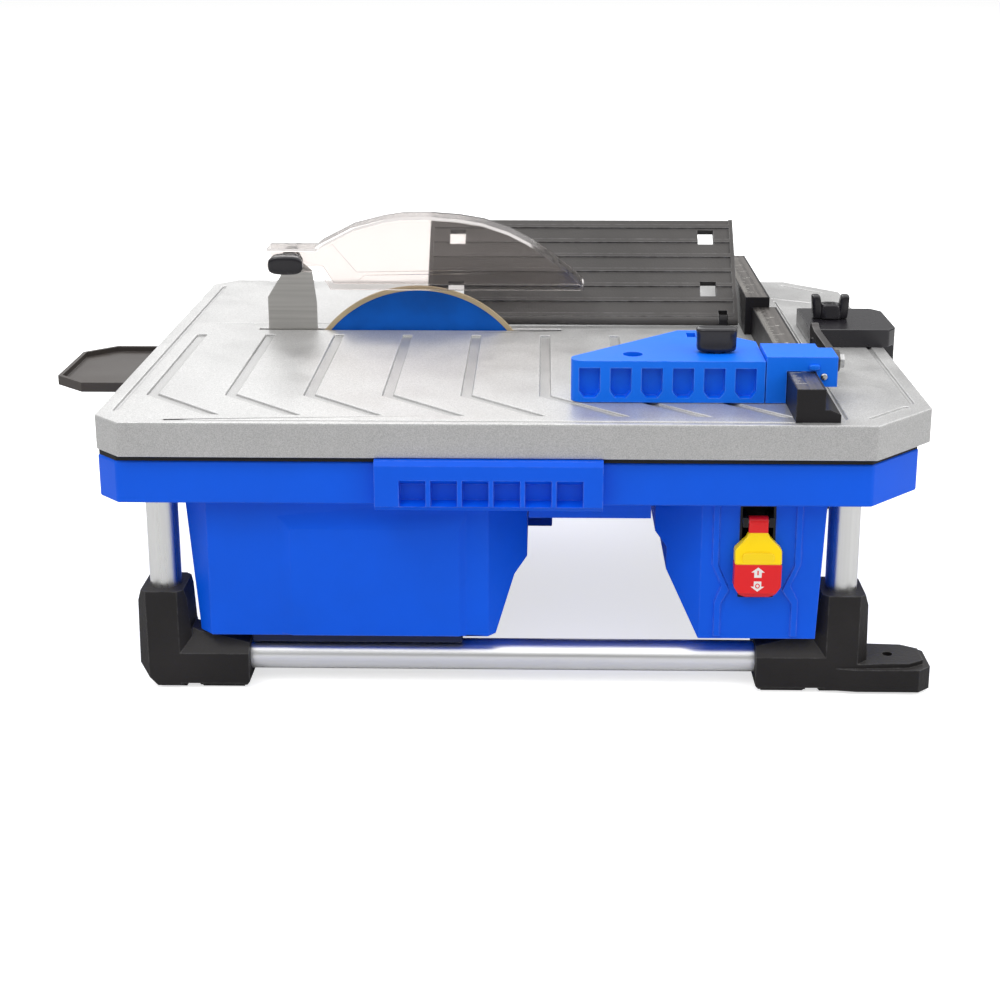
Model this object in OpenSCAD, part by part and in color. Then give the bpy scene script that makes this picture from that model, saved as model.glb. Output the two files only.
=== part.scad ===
// Cordless wet tile saw. Millimetres. +Z is up, +X is the operator's end, +Y is away from the carry handle.
// Sizes are laid out about the deck's centre, then moved so the origin is under the middle of the whole saw.

/* [Deck] */
// Length of the cutting deck along the feed direction
deck_length = 514; // [500:1:530]
// Depth of the cutting deck across the feed direction
deck_depth = 426; // [416:1:436]
// Height of the deck's top face above the bench
deck_top = 183; // [181:1:186]
// Height of the deck's outer skirt
deck_skirt = 22; // [20:1:24]
// Chamfer of the two corners at the operator's end
corner_operator = 40; // [34:1:44]
// Chamfer of the two corners at the outfeed end
corner_outfeed = 17; // [12:1:22]

/* [Blade and guard] */
// Outside diameter of the blade
blade_diameter = 178; // [170:1:180]
// Thickness of the blade's diamond rim
rim_thickness = 2.4; // [2:0.1:2.8]
// Distance of the blade's plane behind the deck's centre line
blade_y = 34; // [32:1:36]
// Outside width of the clear guard
guard_width = 24; // [22:1:25]
// Wall thickness of the clear guard
guard_wall = 2.5; // [2:0.1:3]

/* [Bevel plate] */
// Length of the tilting bevel plate along its hinge
plate_length = 231; // [200:1:232]
// Depth of the bevel plate from hinge to free edge
plate_depth = 92; // [80:1:100]
// Thickness of the bevel plate
plate_thickness = 7; // [6:0.5:7]
// Angle of the bevel plate above the deck as it stands at rest
plate_tilt = 45; // [30:1:50]

/* [Fence and mitre guide] */
// Width of the two fence bars
bar_width = 17.5; // [17:0.1:18]
// Height of the near fence bar above the deck
near_bar_height = 20.6; // [18:0.1:22]
// Height of the far fence bar above the deck
far_bar_height = 27.7; // [24:0.1:30]
// Height of the mitre guide above the deck
guide_height = 27; // [25:0.5:29]
// Number of pockets in the mitre guide's front face
guide_pockets = 6; // [3:1:6]

/* [Frame] */
// Outside diameter of the leg and rail tubes
tube_diameter = 20; // [18:0.5:21]
// Radius of the two bench bolt holes
bench_hole_radius = 3.2; // [2.5:0.1:4]
// Reach of the splash flap beyond the deck's outfeed edge
flap_reach = 76; // [60:1:90]

/* [Hidden] */
$fn = 48;
gap = 0.3;                 // free gap between pieces that move past one another
run = 0.06;                // radial clearance of a shaft in a bearing surface
eps = 0.5;                 // overshoot of a cutting tool past a face

// Overall extents, used to put the origin under the middle of the saw
deck_x = deck_length / 2;
deck_y = deck_depth / 2;
bracket_over = 9;
handle_out = 10;
tray_front = -deck_y + 5;
shift = [(flap_reach - bracket_over) / 2, (handle_out - 5) / 2, 0];

// Levels
skirt_bottom = deck_top - deck_skirt;
deck_under = deck_top - 6;
tray_top = skirt_bottom - 4;
tray_bottom = 130;
tray_floor = tray_bottom + 3;

// Tray plan: centre, length, depth
tray_cx = -3.5;
tray_length = deck_length - 7;
tray_depth = deck_depth - 10;

// Blade
blade_r = blade_diameter / 2;
blade_x = -75;
blade_z = deck_top - 56;
rim_depth = 3.6;
core_thickness = rim_thickness - 0.6;
arbor_r = 7.9;
shaft_r = 6;

// Guard pivot
pivot_x = -169;
pivot_z = deck_top + 52;
guard_y0 = blade_y - guard_width / 2;
guard_y1 = blade_y + guard_width / 2;

// Bevel plate hinge
hinge_y = 47;
hinge_z = deck_top + plate_thickness / 2 + 1;
plate_x0 = -70;
plate_x1 = plate_x0 + plate_length;
bracket_width = 6;
bracket_at = [plate_x0 + 8, plate_x1 - 8 - bracket_width];

// Fence bars and guide
bar_x0 = 168;
bar_x1 = bar_x0 + bar_width;
far_x0 = 163;
saddle_x0 = 155;
guide_base = deck_top + 0.4;
guide_top = deck_top + guide_height;
knob_x = 126;
knob_y = -140;
lever_x = 199.8;
lever_y = -134;
lever_z = deck_top + 20;
clamp_x = 224;
clamp_y = 20;

// Housings
tank_x0 = -208;
tank_x1 = -19;
tank_front = -195;
tank_back = 55;
bay_x0 = 117;
bay_x1 = 192;
bay_bottom = 38;
switch_x = 149.5;

// Frame. The legs keep clear of the housings whatever their diameter.
tube_r = tube_diameter / 2;
leg_y = 176;
leg_left = tank_x0 - tube_r - 5.5;
leg_right = bay_x1 + tube_r + 4;
rail_z = 18;

// Colours
c_blue = [0.02, 0.2, 0.72];
c_silver = [0.66, 0.67, 0.69];
c_dark = [0.07, 0.07, 0.075];
c_grey = [0.3, 0.29, 0.28];
c_steel = [0.7, 0.71, 0.72];
c_red = [0.75, 0.05, 0.04];
c_yellow = [0.95, 0.72, 0.05];
c_clear = [0.85, 0.85, 0.9, 0.35];

// Plan outline of an eight-sided plate with its own corner chamfers at each end, drawn inset by d.
module plan(length, depth, cut_left, cut_right, d = 0) {
  x = length / 2 - d;
  y = depth / 2 - d;
  a = max(cut_left - 0.586 * d, 0.1);
  b = max(cut_right - 0.586 * d, 0.1);
  polygon([[-x + a, -y], [x - b, -y], [x, -y + b], [x, y - b],
           [x - b, y], [-x + a, y], [-x, y - a], [-x, -y + a]]);
}

// Box given by its two opposite corners.
module span(p, q) {
  translate(p) cube(q - p);
}

// Cylinder lying along Y from y0 to y1.
module along_y(x, z, r, y0, y1) {
  translate([x, y1, z]) rotate([90, 0, 0]) cylinder(r = r, h = y1 - y0);
}

// Cylinder lying along X from x0 to x1.
module along_x(y, z, r, x0, x1) {
  translate([x0, y, z]) rotate([0, 90, 0]) cylinder(r = r, h = x1 - x0);
}

// Outline in X and Z, extruded along Y from y0 to y1.
module wall_y(y0, y1) {
  translate([0, y1, 0]) rotate([90, 0, 0]) linear_extrude(y1 - y0) children();
}

// ---------- deck ----------

// One drain channel in the deck, straight and then turned towards the operator at the front.
module drain_channel(x) {
  w = 3.4;
  y_turn = -deck_y + 63;
  y_end = -deck_y + 18;
  run_x = 45;
  polygon([[x - w, 16], [x - w, y_turn], [x - w + run_x, y_end], [x + w + 2.8 + run_x, y_end],
           [x + w, y_turn + 2.8], [x + w, 16]]);
}

// Grooves that follow the deck's rim at the two ends.
module rim_grooves() {
  translate([-deck_x + 9, -deck_y + 26]) square([3, deck_depth - 52]);
  translate([deck_x - 12, -deck_y + 50]) square([3, deck_depth - 100 - 118]);
  for (s = [-1, 1]) {
    translate([deck_x - corner_operator / 2 - 9, s * (deck_y - corner_operator / 2 - 9)])
      rotate(-s * 45) square([corner_operator, 3], center = true);
    translate([-20, s * (deck_y - 6)]) square([deck_length - 130, 2], center = true);
  }
}

// Grooves around the smooth panels beside the fence bars.
module panel_grooves() {
  translate([-deck_x + 30, blade_y + 17.4]) square([deck_x + 126, 1.6]);
  translate([199, -deck_y + 14]) square([1.6, deck_depth - 90]);
  polygon([[199, 147], [deck_x - 6, 121], [deck_x - 6, 119], [199, 145]]);
}

module deck() color(c_silver) translate(shift) {
  slot_half = 3;
  difference() {
    translate([0, 0, skirt_bottom]) linear_extrude(deck_skirt)
      plan(deck_length, deck_depth, corner_outfeed, corner_operator);
    translate([0, 0, skirt_bottom - eps]) linear_extrude(deck_under - skirt_bottom + eps)
      plan(deck_length, deck_depth, corner_outfeed, corner_operator, 4);
    span([-193, blade_y - slot_half, deck_under - eps], [30, blade_y + slot_half, deck_top + eps]);
    translate([0, 0, deck_top - 1.6]) linear_extrude(3) for (i = [0:7]) drain_channel(-232 + 50 * i);
    translate([0, 0, deck_top - 1.5]) linear_extrude(3) rim_grooves();
    translate([0, 0, deck_top - 1.5]) linear_extrude(3) panel_grooves();
  }
}

module deck_gasket() color(c_dark) translate(shift) translate([tray_cx, 0, tray_top])
  linear_extrude(skirt_bottom - tray_top) difference() {
    plan(tray_length, tray_depth, 14, 34, 0.8);
    plan(tray_length, tray_depth, 14, 34, 4);
  }

module deck_posts() color(c_dark) translate(shift)
  for (p = [[-232, -165], [-232, 165], [60, -195], [60, 195], [222, -150], [222, 150]])
    translate([p[0], p[1], tray_floor]) cylinder(r = 7, h = deck_under - tray_floor);

// ---------- tub ----------

drain_x0 = 32;
drain_x1 = 84;
drain_y = 188;
drain_wall = 3;
module upper_tray() color(c_blue) translate(shift) {
  difference() {
    translate([tray_cx, 0, tray_bottom]) linear_extrude(tray_top - tray_bottom)
      plan(tray_length, tray_depth, 14, 34);
    translate([tray_cx, 0, tray_floor]) linear_extrude(tray_top) plan(tray_length, tray_depth, 14, 34, 4);
    // Floor openings over the cross drain, the tank, the blade well and the motor
    cross_drain_plan(drain_wall, tray_bottom - eps, tray_floor + eps);
    span([tank_x0 + 8, tank_front + 8, tray_bottom - eps], [tank_side - 6, tank_back + 3, tray_floor + eps]);
    span([tank_side - 7, well_y0 + 4, tray_bottom - eps], [well_x1 - 4, tank_back + 3, tray_floor + eps]);
    span([-145, tank_back + 3 - eps, tray_bottom - eps], [-5, 187, tray_floor + eps]);
  }
}

// Block over the plan of the cross drain, drawn inset by d, from height z0 to z1.
module cross_drain_plan(d, z0, z1) {
  span([drain_x0 + d, -drain_y + d, z0], [drain_x1 - d, drain_y - d, z1]);
  span([tank_side + 1 + d, -drain_y + d, z0], [drain_x0 + 2 * d, well_y0 - 2 - d, z1]);
}

// Shallow channel under the tray that leads the water from the operator's half back to the tank.
module cross_drain() color(c_blue) translate(shift) {
  drain_depth = 15;
  difference() {
    cross_drain_plan(0, tray_bottom - drain_depth, tray_bottom);
    cross_drain_plan(drain_wall, tray_bottom - drain_depth + drain_wall, tray_bottom + eps);
  }
}

// Ribbed grip on the tray's front rim: two end blocks with a row of finger pockets between them.
module carry_handle() color(c_blue) translate(shift) {
  x0 = -85;
  x1 = 53;
  pocket_x0 = -70;
  pocket_x1 = 41;
  cells = 6;
  pitch = (pocket_x1 - pocket_x0 + 3) / cells;
  front = tray_front - handle_out;
  top = skirt_bottom - gap;
  difference() {
    translate([x0, 0, 0]) rotate([90, 0, 90]) linear_extrude(x1 - x0)
      polygon([[front + 2, top], [tray_front, top], [tray_front, tray_bottom - 1],
               [front + 3, tray_bottom - 1], [front, tray_bottom + 2], [front, top - 3]]);
    for (i = [0:cells - 1])
      translate([pocket_x0 + i * pitch, 0, 0]) rotate([90, 0, 90]) linear_extrude(pitch - 3)
        polygon([[front - eps, tray_bottom + 2], [tray_front - 1.5, tray_bottom + 4],
                 [tray_front - 1.5, tray_bottom + 14], [front - eps, tray_bottom + 19]]);
  }
}

// Raised panel with sloped borders, standing out of a front face at y. The slope runs over b and rises by d.
module raised_panel(x0, x1, z0, z1, y, d, b) {
  intersection() {
    translate([x0, 0, 0]) rotate([90, 0, 90]) linear_extrude(x1 - x0)
      polygon([[y + 1, z0], [y - d, z0], [y - d, z1 - b], [y, z1], [y + 1, z1]]);
    translate([0, 0, z0]) linear_extrude(z1 - z0)
      polygon([[x0, y + 1], [x0, y], [x0 + b, y - d], [x1 - b / 2, y - d], [x1, y], [x1, y + 1]]);
  }
}

// Outside of the water tank, drawn inset by d. The operator's side is full at the top and slopes in below.
module tank_form(d) {
  y0 = tank_front + d;
  y1 = tank_back - d;
  c = 16 - 0.586 * d;
  x0 = tank_x0 + d;
  low = bay_bottom + d;
  intersection() {
    translate([0, 0, low]) linear_extrude(tray_bottom - low + (d > 0 ? eps : 0))
      polygon([[x0 + c, y0], [tank_x1 + 2, y0], [tank_side - d, y0 + 27], [tank_side - d, y1],
               [x0, y1], [x0, y0 + c]]);
    translate([0, tank_back, 0]) rotate([90, 0, 0]) linear_extrude(tank_back - tank_front)
      polygon([[x0 + 8, low - 1], [tank_x1 + 6 - d, low - 1], [tank_side - 8 - d, 73 + d / 2],
               [tank_side - d, 82 + d / 2], [tank_side - d, tray_bottom + 1], [x0 - 1, tray_bottom + 1]]);
  }
}

well_y0 = 10;
well_x1 = 24;
tank_side = 7;
pan_x0 = -168.5;
pan_x1 = -34;
pan_bottom = rail_z + tube_r + 1;
plug_x = -104;
plug_y = -110;
plug_r = 8;
module water_tank() color(c_blue) translate(shift) {
  wall = 3;
  floor_z = bay_bottom;
  difference() {
    union() {
      tank_form(0);
      raised_panel(-148, -31, floor_z + 1, tray_bottom - 12, tank_front, 3, 8);
      // Wider blade well around the blade's operator side
      span([tank_x1 - 8, well_y0, floor_z], [well_x1, tank_back, tray_bottom]);
    }
    tank_form(wall);
    span([tank_x1 - 12, well_y0 + wall, floor_z + wall],
         [well_x1 - wall, tank_back - wall, tray_bottom + eps]);
    span([pan_x0 + 4, tank_front + 14, floor_z - eps], [pan_x1 - 4, tank_back - 8, floor_z + wall + eps]);
    span([-110, tank_back - wall - eps, 98], [-40, tank_back + eps, tray_bottom + eps]);
  }
}

// Dark lower covers: the pan that gives the blade room beneath the tank, and the plate under the housing.
module lower_pans() color([0.015, 0.12, 0.45]) translate(shift) {
  difference() {
    span([pan_x0, tank_front + 10, pan_bottom], [pan_x1, tank_back - 4, bay_bottom]);
    span([pan_x0 + 4, tank_front + 14, pan_bottom + 3], [pan_x1 - 4, tank_back - 8, bay_bottom + eps]);
    translate([plug_x, plug_y, pan_bottom - 1]) cylinder(r = plug_r, h = 6);
  }
  span([bay_x0 + 6, -150, 31], [bay_x1 - 10, 150, bay_bottom]);
}

module drain_plug() color(c_dark) translate(shift) translate([plug_x, plug_y, pan_bottom]) {
  cylinder(r = plug_r - gap, h = 5);
  translate([0, 0, -4.4]) cylinder(r = plug_r + 3, h = 4.1);
  translate([0, 0, -gap]) cylinder(r = plug_r - 2, h = 0.6);
}

module bearing_plate() color(c_steel) translate(shift) difference() {
  span([-110, tank_back - 3, 98], [-40, tank_back, tray_top]);
  along_y(blade_x, blade_z, 9, tank_back - 5, tank_back + 2);
}

module shaft_seal() color(c_dark) translate(shift) difference() {
  along_y(blade_x, blade_z, 15, tank_back, tank_back + 4);
  along_y(blade_x, blade_z, shaft_r + 0.1, tank_back - 1, tank_back + 5);
}

module motor_cover() color(c_blue) translate(shift) difference() {
  span([-150, tank_back + 3, 90], [0, 192, tray_bottom]);
  span([-147, tank_back + 6, 93], [-3, 189, tray_bottom + eps]);
  span([-110, tank_back, 98], [-40, tank_back + 7, tray_bottom + eps]);
}

// ---------- drive and battery housing ----------

bay_y0 = 62;
housing_side = 88;
module drive_housing() color(c_blue) translate(shift) {
  y0 = tank_front;
  y1 = -tank_front;
  wall = 3;
  difference() {
    union() {
      intersection() {
        translate([0, 0, bay_bottom]) linear_extrude(tray_bottom - bay_bottom)
          polygon([[bay_x0 - 2, y0], [bay_x1, y0], [bay_x1, y1], [housing_side, y1],
                   [housing_side, y0 + 26]]);
        translate([0, y1, 0]) rotate([90, 0, 0]) linear_extrude(y1 - y0)
          polygon([[bay_x0 - 2, bay_bottom - 1], [bay_x1 - 4, bay_bottom - 1], [bay_x1, tray_bottom + 1],
                   [housing_side, tray_bottom + 1], [housing_side, 100], [housing_side + 7, 92],
                   [housing_side + 7, 77]]);
      }
      // Raised straps either side of the switch
      wall_y(y0 - 1.4, y0 + 1) difference() {
        polygon([[122, tray_bottom - 1], [122, 88], [128, 74], [124, 64], [124, bay_bottom + 2],
                 [176, bay_bottom + 2], [176, 64], [171, 74], [177, 88], [177, tray_bottom - 1]]);
        polygon([[126, tray_bottom], [126, 87], [133, 71], [128, 62], [128, bay_bottom - 1],
                 [172, bay_bottom - 1], [172, 62], [166, 71], [173, 87], [173, tray_bottom]]);
      }
    }
    span([bay_x0 + 2, y0 + wall, bay_bottom + wall], [bay_x1 - 6, bay_y0 - wall, tray_bottom - wall]);
    span([housing_side + 10, y0 + 30, 80], [bay_x0 + 3, bay_y0 - wall, tray_bottom - wall]);
    span([housing_side + 10, bay_y0, 80], [bay_x0 + 1.5, y1 - wall, tray_bottom - wall]);
    span([bay_x0 + 4.5, bay_y0, bay_bottom + 5], [bay_x1 - 4.5, y1 + eps, tray_bottom - wall]);
    span([switch_x - 11, y0 - 3, 66], [switch_x + 11, y0 + wall + eps, 127]);
  }
}

paddle_y = tank_front - 1;
paddle_z = 116.5;
module switch_box() color(c_dark) translate(shift) difference() {
  union() {
    difference() {
      span([switch_x - 11, tank_front + 0.4, 66], [switch_x + 11, tank_front + 34, 127]);
      span([switch_x - 9.6, tank_front - eps, 68], [switch_x + 9.6, tank_front + 14, 125.5]);
      span([switch_x - 8, tank_front + 13, 72], [switch_x + 8, tank_front + 26, 98]);
    }
    // Ears that carry the paddle's hinge pin
    for (x = [switch_x - 9.6, switch_x + 6.4])
      span([x, paddle_y - 3, paddle_z - 3], [x + 3.2, tank_front + 10, paddle_z + 3]);
  }
  along_x(paddle_y, paddle_z, 1.5, switch_x - 15, switch_x + 15);
}

rocker_y = tank_front + 17;
rocker_z = 85;
module switch_rocker() color(c_red) translate(shift) difference() {
  translate([switch_x - 7.4, 0, 0]) rotate([90, 0, 90]) linear_extrude(14.8)
    polygon([[rocker_y - 6, rocker_z - 11], [rocker_y - 3, rocker_z], [rocker_y - 6, rocker_z + 11],
             [rocker_y + 3, rocker_z + 11], [rocker_y + 7, rocker_z], [rocker_y + 3, rocker_z - 11]]);
  along_x(rocker_y + 1, rocker_z, 1.2, switch_x - 12, switch_x + 12);
}

// Front outline of the flip-up paddle, wide below and necked towards its hinge.
module paddle_outline() {
  polygon([[-6, 110], [6, 110], [7.5, 107], [14.5, 100], [14.5, 76], [11, 70.5], [7, 68.5],
           [-7, 68.5], [-11, 70.5], [-14.5, 76], [-14.5, 100], [-7.5, 107]]);
}

// Solid between two heights of the paddle, its front and back faces slightly sloped.
module paddle_slice(z0, z1) {
  intersection() {
    translate([switch_x, 0, 0]) wall_y(paddle_y - 12, paddle_y + 3) paddle_outline();
    translate([switch_x - 20, 0, 0]) rotate([90, 0, 90]) linear_extrude(40)
      polygon([[paddle_y - 3, 110], [paddle_y + 0.4, 110], [paddle_y + 0.4, 67], [paddle_y - 4, 67],
               [paddle_y - 7.5, 72], [paddle_y - 8.5, 92], [paddle_y - 7, 100]]);
    span([switch_x - 30, paddle_y - 20, z0], [switch_x + 30, paddle_y + 20, z1]);
  }
}

module paddle_shoulder() color(c_yellow) translate(shift) paddle_slice(91, 120);

module stop_paddle() color(c_red) translate(shift) {
  paddle_slice(60, 91);
  difference() {
    union() {
      along_x(paddle_y, paddle_z, 3.6, switch_x - 6, switch_x + 6);
      span([switch_x - 6, paddle_y - 3.2, 110], [switch_x + 6, paddle_y + 0.4, paddle_z]);
    }
    along_x(paddle_y, paddle_z, 1.5 + run, switch_x - 9, switch_x + 9);
  }
}

module control_board() color([0.05, 0.3, 0.12]) translate(shift) {
  span([bay_x0 + 10, -150, 55], [bay_x0 + 12, -30, 118]);
  for (i = [0:5])
    span([bay_x0 + 12, -140 + 18 * i, 64], [bay_x0 + 20, -129 + 18 * i, 80]);
  for (i = [0:3])
    span([bay_x0 + 12, -134 + 26 * i, 90], [bay_x0 + 26, -120 + 26 * i, 104]);
}

// Battery pack, seen with its rail side towards the deck's centre.
pack_y0 = 70;
pack_y1 = 190;
pack_x0 = bay_x0 + 13;
pack_x1 = bay_x1 - 7;
pack_z0 = 46;
pack_z1 = 124;
module battery_case() color(c_dark) translate(shift) difference() {
  span([pack_x0 + 16, pack_y0, pack_z0], [pack_x1, pack_y1, pack_z1]);
  span([pack_x0 + 16 - eps, pack_y0 + 2.5, pack_z0 + 2.5], [pack_x1 - 2.5, pack_y1 - 2.5, pack_z1 - 2.5]);
  for (i = [0:3])
    span([pack_x0 + 22 + 8 * i, pack_y1 - 0.8, pack_z0 + 12],
         [pack_x0 + 25 + 8 * i, pack_y1 + eps, pack_z1 - 12]);
}

module battery_top() color(c_blue) translate(shift) difference() {
  union() {
    span([pack_x0 + 11, pack_y0, pack_z0], [pack_x0 + 16, pack_y1, pack_z1]);
    span([pack_x0 + 2, pack_y0 + 4, pack_z0 + 14], [pack_x0 + 11, pack_y1 - 22, pack_z1 - 14]);
  }
  for (s = [0, 1])
    span([pack_x0 + 6, pack_y0 - eps, s == 0 ? pack_z0 + 13 : pack_z1 - 18],
         [pack_x0 + 10, pack_y1 - 22, s == 0 ? pack_z0 + 18 : pack_z1 - 13]);
  span([pack_x0 + 8, pack_y1 - 18, pack_z0 + 24], [pack_x0 + 15, pack_y1 - 4, pack_z1 - 24]);
}

module battery_latch() color(c_grey) translate(shift)
  span([pack_x0 + 8, pack_y1 - 17.6, pack_z0 + 24.4], [pack_x0 + 12, pack_y1 - 4.4, pack_z1 - 24.4]);

module battery_cells() color([0.1, 0.5, 0.3]) translate(shift)
  for (i = [0:4])
    translate([pack_x0 + 28, pack_y0 + 15 + 22 * i, pack_z0 + 5])
      cylinder(r = 9.2, h = pack_z1 - pack_z0 - 10);

module terminal_block() color(c_dark) translate(shift) {
  span([bay_x0 + 4.5, 78, 64], [pack_x0 + 1.6, 150, 106]);
}

// ---------- frame ----------

module leg_tubes() color(c_steel) translate(shift)
  for (x = [leg_left, leg_right]) for (y = [-leg_y, leg_y]) translate([x, y, 34]) difference() {
    cylinder(r = tube_r, h = tray_bottom - 34);
    translate([0, 0, -1]) cylinder(r = tube_r - 1.5, h = tray_bottom);
  }

module leg_collars() color(c_blue) translate(shift)
  for (x = [leg_left, leg_right]) for (y = [-leg_y, leg_y]) translate([x, y, tray_bottom - 6]) difference() {
    cylinder(r = tube_r + 3, h = 6);
    translate([0, 0, -1]) cylinder(r = tube_r, h = 8);
  }

rail_x0 = leg_left + 20;
rail_x1 = leg_right - 20;
module rail_tubes() color(c_steel) translate(shift)
  for (y = [-leg_y, leg_y]) difference() {
    along_x(y, rail_z, tube_r, rail_x0, rail_x1);
    along_x(y, rail_z, tube_r - 1.5, rail_x0 - 1, rail_x1 + 1);
  }

// Elbow foot with its upright socket at the origin and its rail socket reaching out along +X.
module elbow_foot(pad) {
  reach = 54;
  half = 17;
  top = 66;
  arm_top = 33;
  pad_out = 57;
  difference() {
    union() {
      intersection() {
        wall_y(-half, half)
          polygon([[-17, 15], [-5, 2], [reach - 2, 2], [reach, 5], [reach, arm_top - 3],
                   [22, arm_top + 3], [16.6, arm_top + 5], [15, top - 5], [13.5, top],
                   [-13.5, top], [-16, top - 8]]);
        union() {
          translate([0, 0, 1]) linear_extrude(top)
            polygon([[-17, -10], [-10, -half], [10, -half], [17, -10],
                     [17, 10], [10, half], [-10, half], [-17, 10]]);
          translate([5, 0, 0]) rotate([90, 0, 90]) linear_extrude(reach)
            polygon([[-half + 3, 0], [-half, 4], [-half, arm_top - 9], [-half + 7, arm_top],
                     [-half + 12, arm_top + 8], [half - 12, arm_top + 8], [half - 7, arm_top],
                     [half, arm_top - 9], [half, 4], [half - 3, 0]]);
        }
      }
      if (pad) translate([0, 0, 2]) linear_extrude(15)
        polygon([[-10, -half - 2], [8 - pad_out, -half - 2], [-pad_out, -half + 5],
                 [-pad_out, half - 5], [8 - pad_out, half + 2], [-10, half + 2], [4, half], [4, -half]]);
      if (pad) translate([0, 0, 17]) linear_extrude(3)
        polygon([[-10, -half], [14 - pad_out, -half + 2], [4 - pad_out, -9], [4 - pad_out, 9],
                 [14 - pad_out, half - 2], [-10, half]]);
    }
    translate([0, 0, 34]) cylinder(r = tube_r, h = 40);
    translate([20, 0, rail_z]) rotate([0, 90, 0]) cylinder(r = tube_r, h = 40);
    span([14, -half - 3, -1], [22, half + 3, 3.4]);
    if (pad) translate([-32, 0, -1]) cylinder(r = bench_hole_radius, h = 30);
  }
}

module outfeed_feet() color(c_dark) translate(shift)
  for (y = [-leg_y, leg_y]) translate([leg_left, y, 0]) elbow_foot(false);

module operator_feet() color(c_dark) translate(shift)
  for (y = [-leg_y, leg_y]) translate([leg_right, y, 0]) mirror([1, 0, 0]) elbow_foot(true);

module foot_soles() color([0.03, 0.03, 0.03]) translate(shift)
  for (y = [-leg_y, leg_y]) {
    span([leg_left - 4, y - 13, 0], [leg_left + 13, y + 13, 2]);
    span([leg_left + 23, y - 13, 0], [leg_left + 50, y + 13, 2]);
    span([leg_right - 50, y - 13, 0], [leg_right - 23, y + 13, 2]);
    span([leg_right - 13, y - 13, 0], [leg_right + 4, y + 13, 2]);
  }

// ---------- splash flap ----------

flap_x = -deck_x - 7;
flap_z = skirt_bottom - 8;
module splash_flap() color(c_grey) translate(shift) {
  tip = -deck_x - flap_reach;
  y0 = -29;
  y1 = 81;
  difference() {
    union() {
      translate([0, 0, flap_z - 2]) linear_extrude(3)
        polygon([[flap_x + 1, y0], [flap_x + 1, y1], [tip + 22, y1], [tip, y1 - 20], [tip, y0 + 20],
                 [tip + 22, y0]]);
      translate([0, 0, flap_z + 1]) linear_extrude(4) difference() {
        polygon([[flap_x - 5, y0], [flap_x - 5, y1], [tip + 22, y1], [tip, y1 - 20], [tip, y0 + 20],
                 [tip + 22, y0]]);
        polygon([[flap_x + 1, y0 + 3], [flap_x + 1, y1 - 3], [tip + 23, y1 - 3], [tip + 3, y1 - 21],
                 [tip + 3, y0 + 21], [tip + 23, y0 + 3]]);
      }
      along_y(flap_x, flap_z, 3.6, y0 + 12, y1 - 12);
    }
    along_y(flap_x, flap_z, 2 + run, y0 - 1, y1 + 1);
    for (y = [y0, y1]) span([flap_x - 4.5, y - 12.2, flap_z - 6], [flap_x + 4, y + 12.2, flap_z + 7]);
  }
}

// Bracket that carries the splash flap under the deck's edge.
module flap_bracket() difference() {
  union() {
    span([-deck_x - 2.5, -29, 134], [-deck_x, 81, tray_top - 2]);
    for (y = [-29, 72]) {
      along_y(flap_x, flap_z, 3.6, y, y + 9);
      span([flap_x, y, flap_z - 3], [-deck_x - 2, y + 9, flap_z + 2]);
    }
  }
  along_y(flap_x, flap_z, 2, -40, 90);
}

// ---------- motor ----------

motor_y0 = 62;
motor_y1 = 158;
motor_r = 30;
module motor_can() color(c_dark) translate(shift) difference() {
  along_y(blade_x, blade_z, motor_r, motor_y0 + 8, motor_y1 - 8);
  along_y(blade_x, blade_z, motor_r - 2.5, motor_y0 + 7, motor_y1 - 7);
}

module end_bells() color(c_steel) translate(shift) for (y = [motor_y0, motor_y1 - 8]) difference() {
  along_y(blade_x, blade_z, motor_r, y, y + 8);
  along_y(blade_x, blade_z, 13, y - 1, y + 9);
}

module bearings() color(c_steel) translate(shift) for (y = [motor_y0, motor_y1 - 8]) difference() {
  along_y(blade_x, blade_z, 13, y, y + 8);
  along_y(blade_x, blade_z, shaft_r + run, y - 1, y + 9);
}

module motor_mount() color(c_dark) translate(shift) difference() {
  span([blade_x - 30, motor_y0 + 12, 93], [blade_x + 30, motor_y1 - 12, 108]);
  along_y(blade_x, blade_z, motor_r, motor_y0, motor_y1);
}

module stator() color([0.55, 0.3, 0.12]) translate(shift) difference() {
  along_y(blade_x, blade_z, motor_r - 2.5, motor_y0 + 20, motor_y1 - 24);
  along_y(blade_x, blade_z, 20, motor_y0 + 19, motor_y1 - 23);
}

module rotor_core() color(c_steel) translate(shift) difference() {
  along_y(blade_x, blade_z, 19.5, motor_y0 + 18, motor_y1 - 22);
  along_y(blade_x, blade_z, shaft_r, motor_y0, motor_y1);
}

module motor_fan() color(c_dark) translate(shift) difference() {
  union() {
    along_y(blade_x, blade_z, 10, motor_y1 - 20, motor_y1 - 10);
    along_y(blade_x, blade_z, 25, motor_y1 - 12, motor_y1 - 10);
    for (a = [0:40:320]) translate([blade_x, 0, blade_z]) rotate([0, a, 0])
      span([8, motor_y1 - 20, -0.8], [25, motor_y1 - 11, 0.8]);
  }
  along_y(blade_x, blade_z, shaft_r, motor_y0, motor_y1);
}

module arbor_shaft() color(c_steel) translate(shift) {
  along_y(blade_x, blade_z, shaft_r, blade_y + 6, motor_y1 + 4);
  along_y(blade_x, blade_z, arbor_r, blade_y - 8, blade_y + 6);
  along_y(blade_x, blade_z, shaft_r, blade_y - 20, blade_y - 8);
}

// ---------- blade ----------

module blade_core() color([0.03, 0.16, 0.5]) translate(shift) difference() {
  along_y(blade_x, blade_z, blade_r - rim_depth, blade_y - core_thickness / 2, blade_y + core_thickness / 2,
          $fn = 120);
  along_y(blade_x, blade_z, arbor_r, blade_y - 5, blade_y + 5);
}

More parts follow.
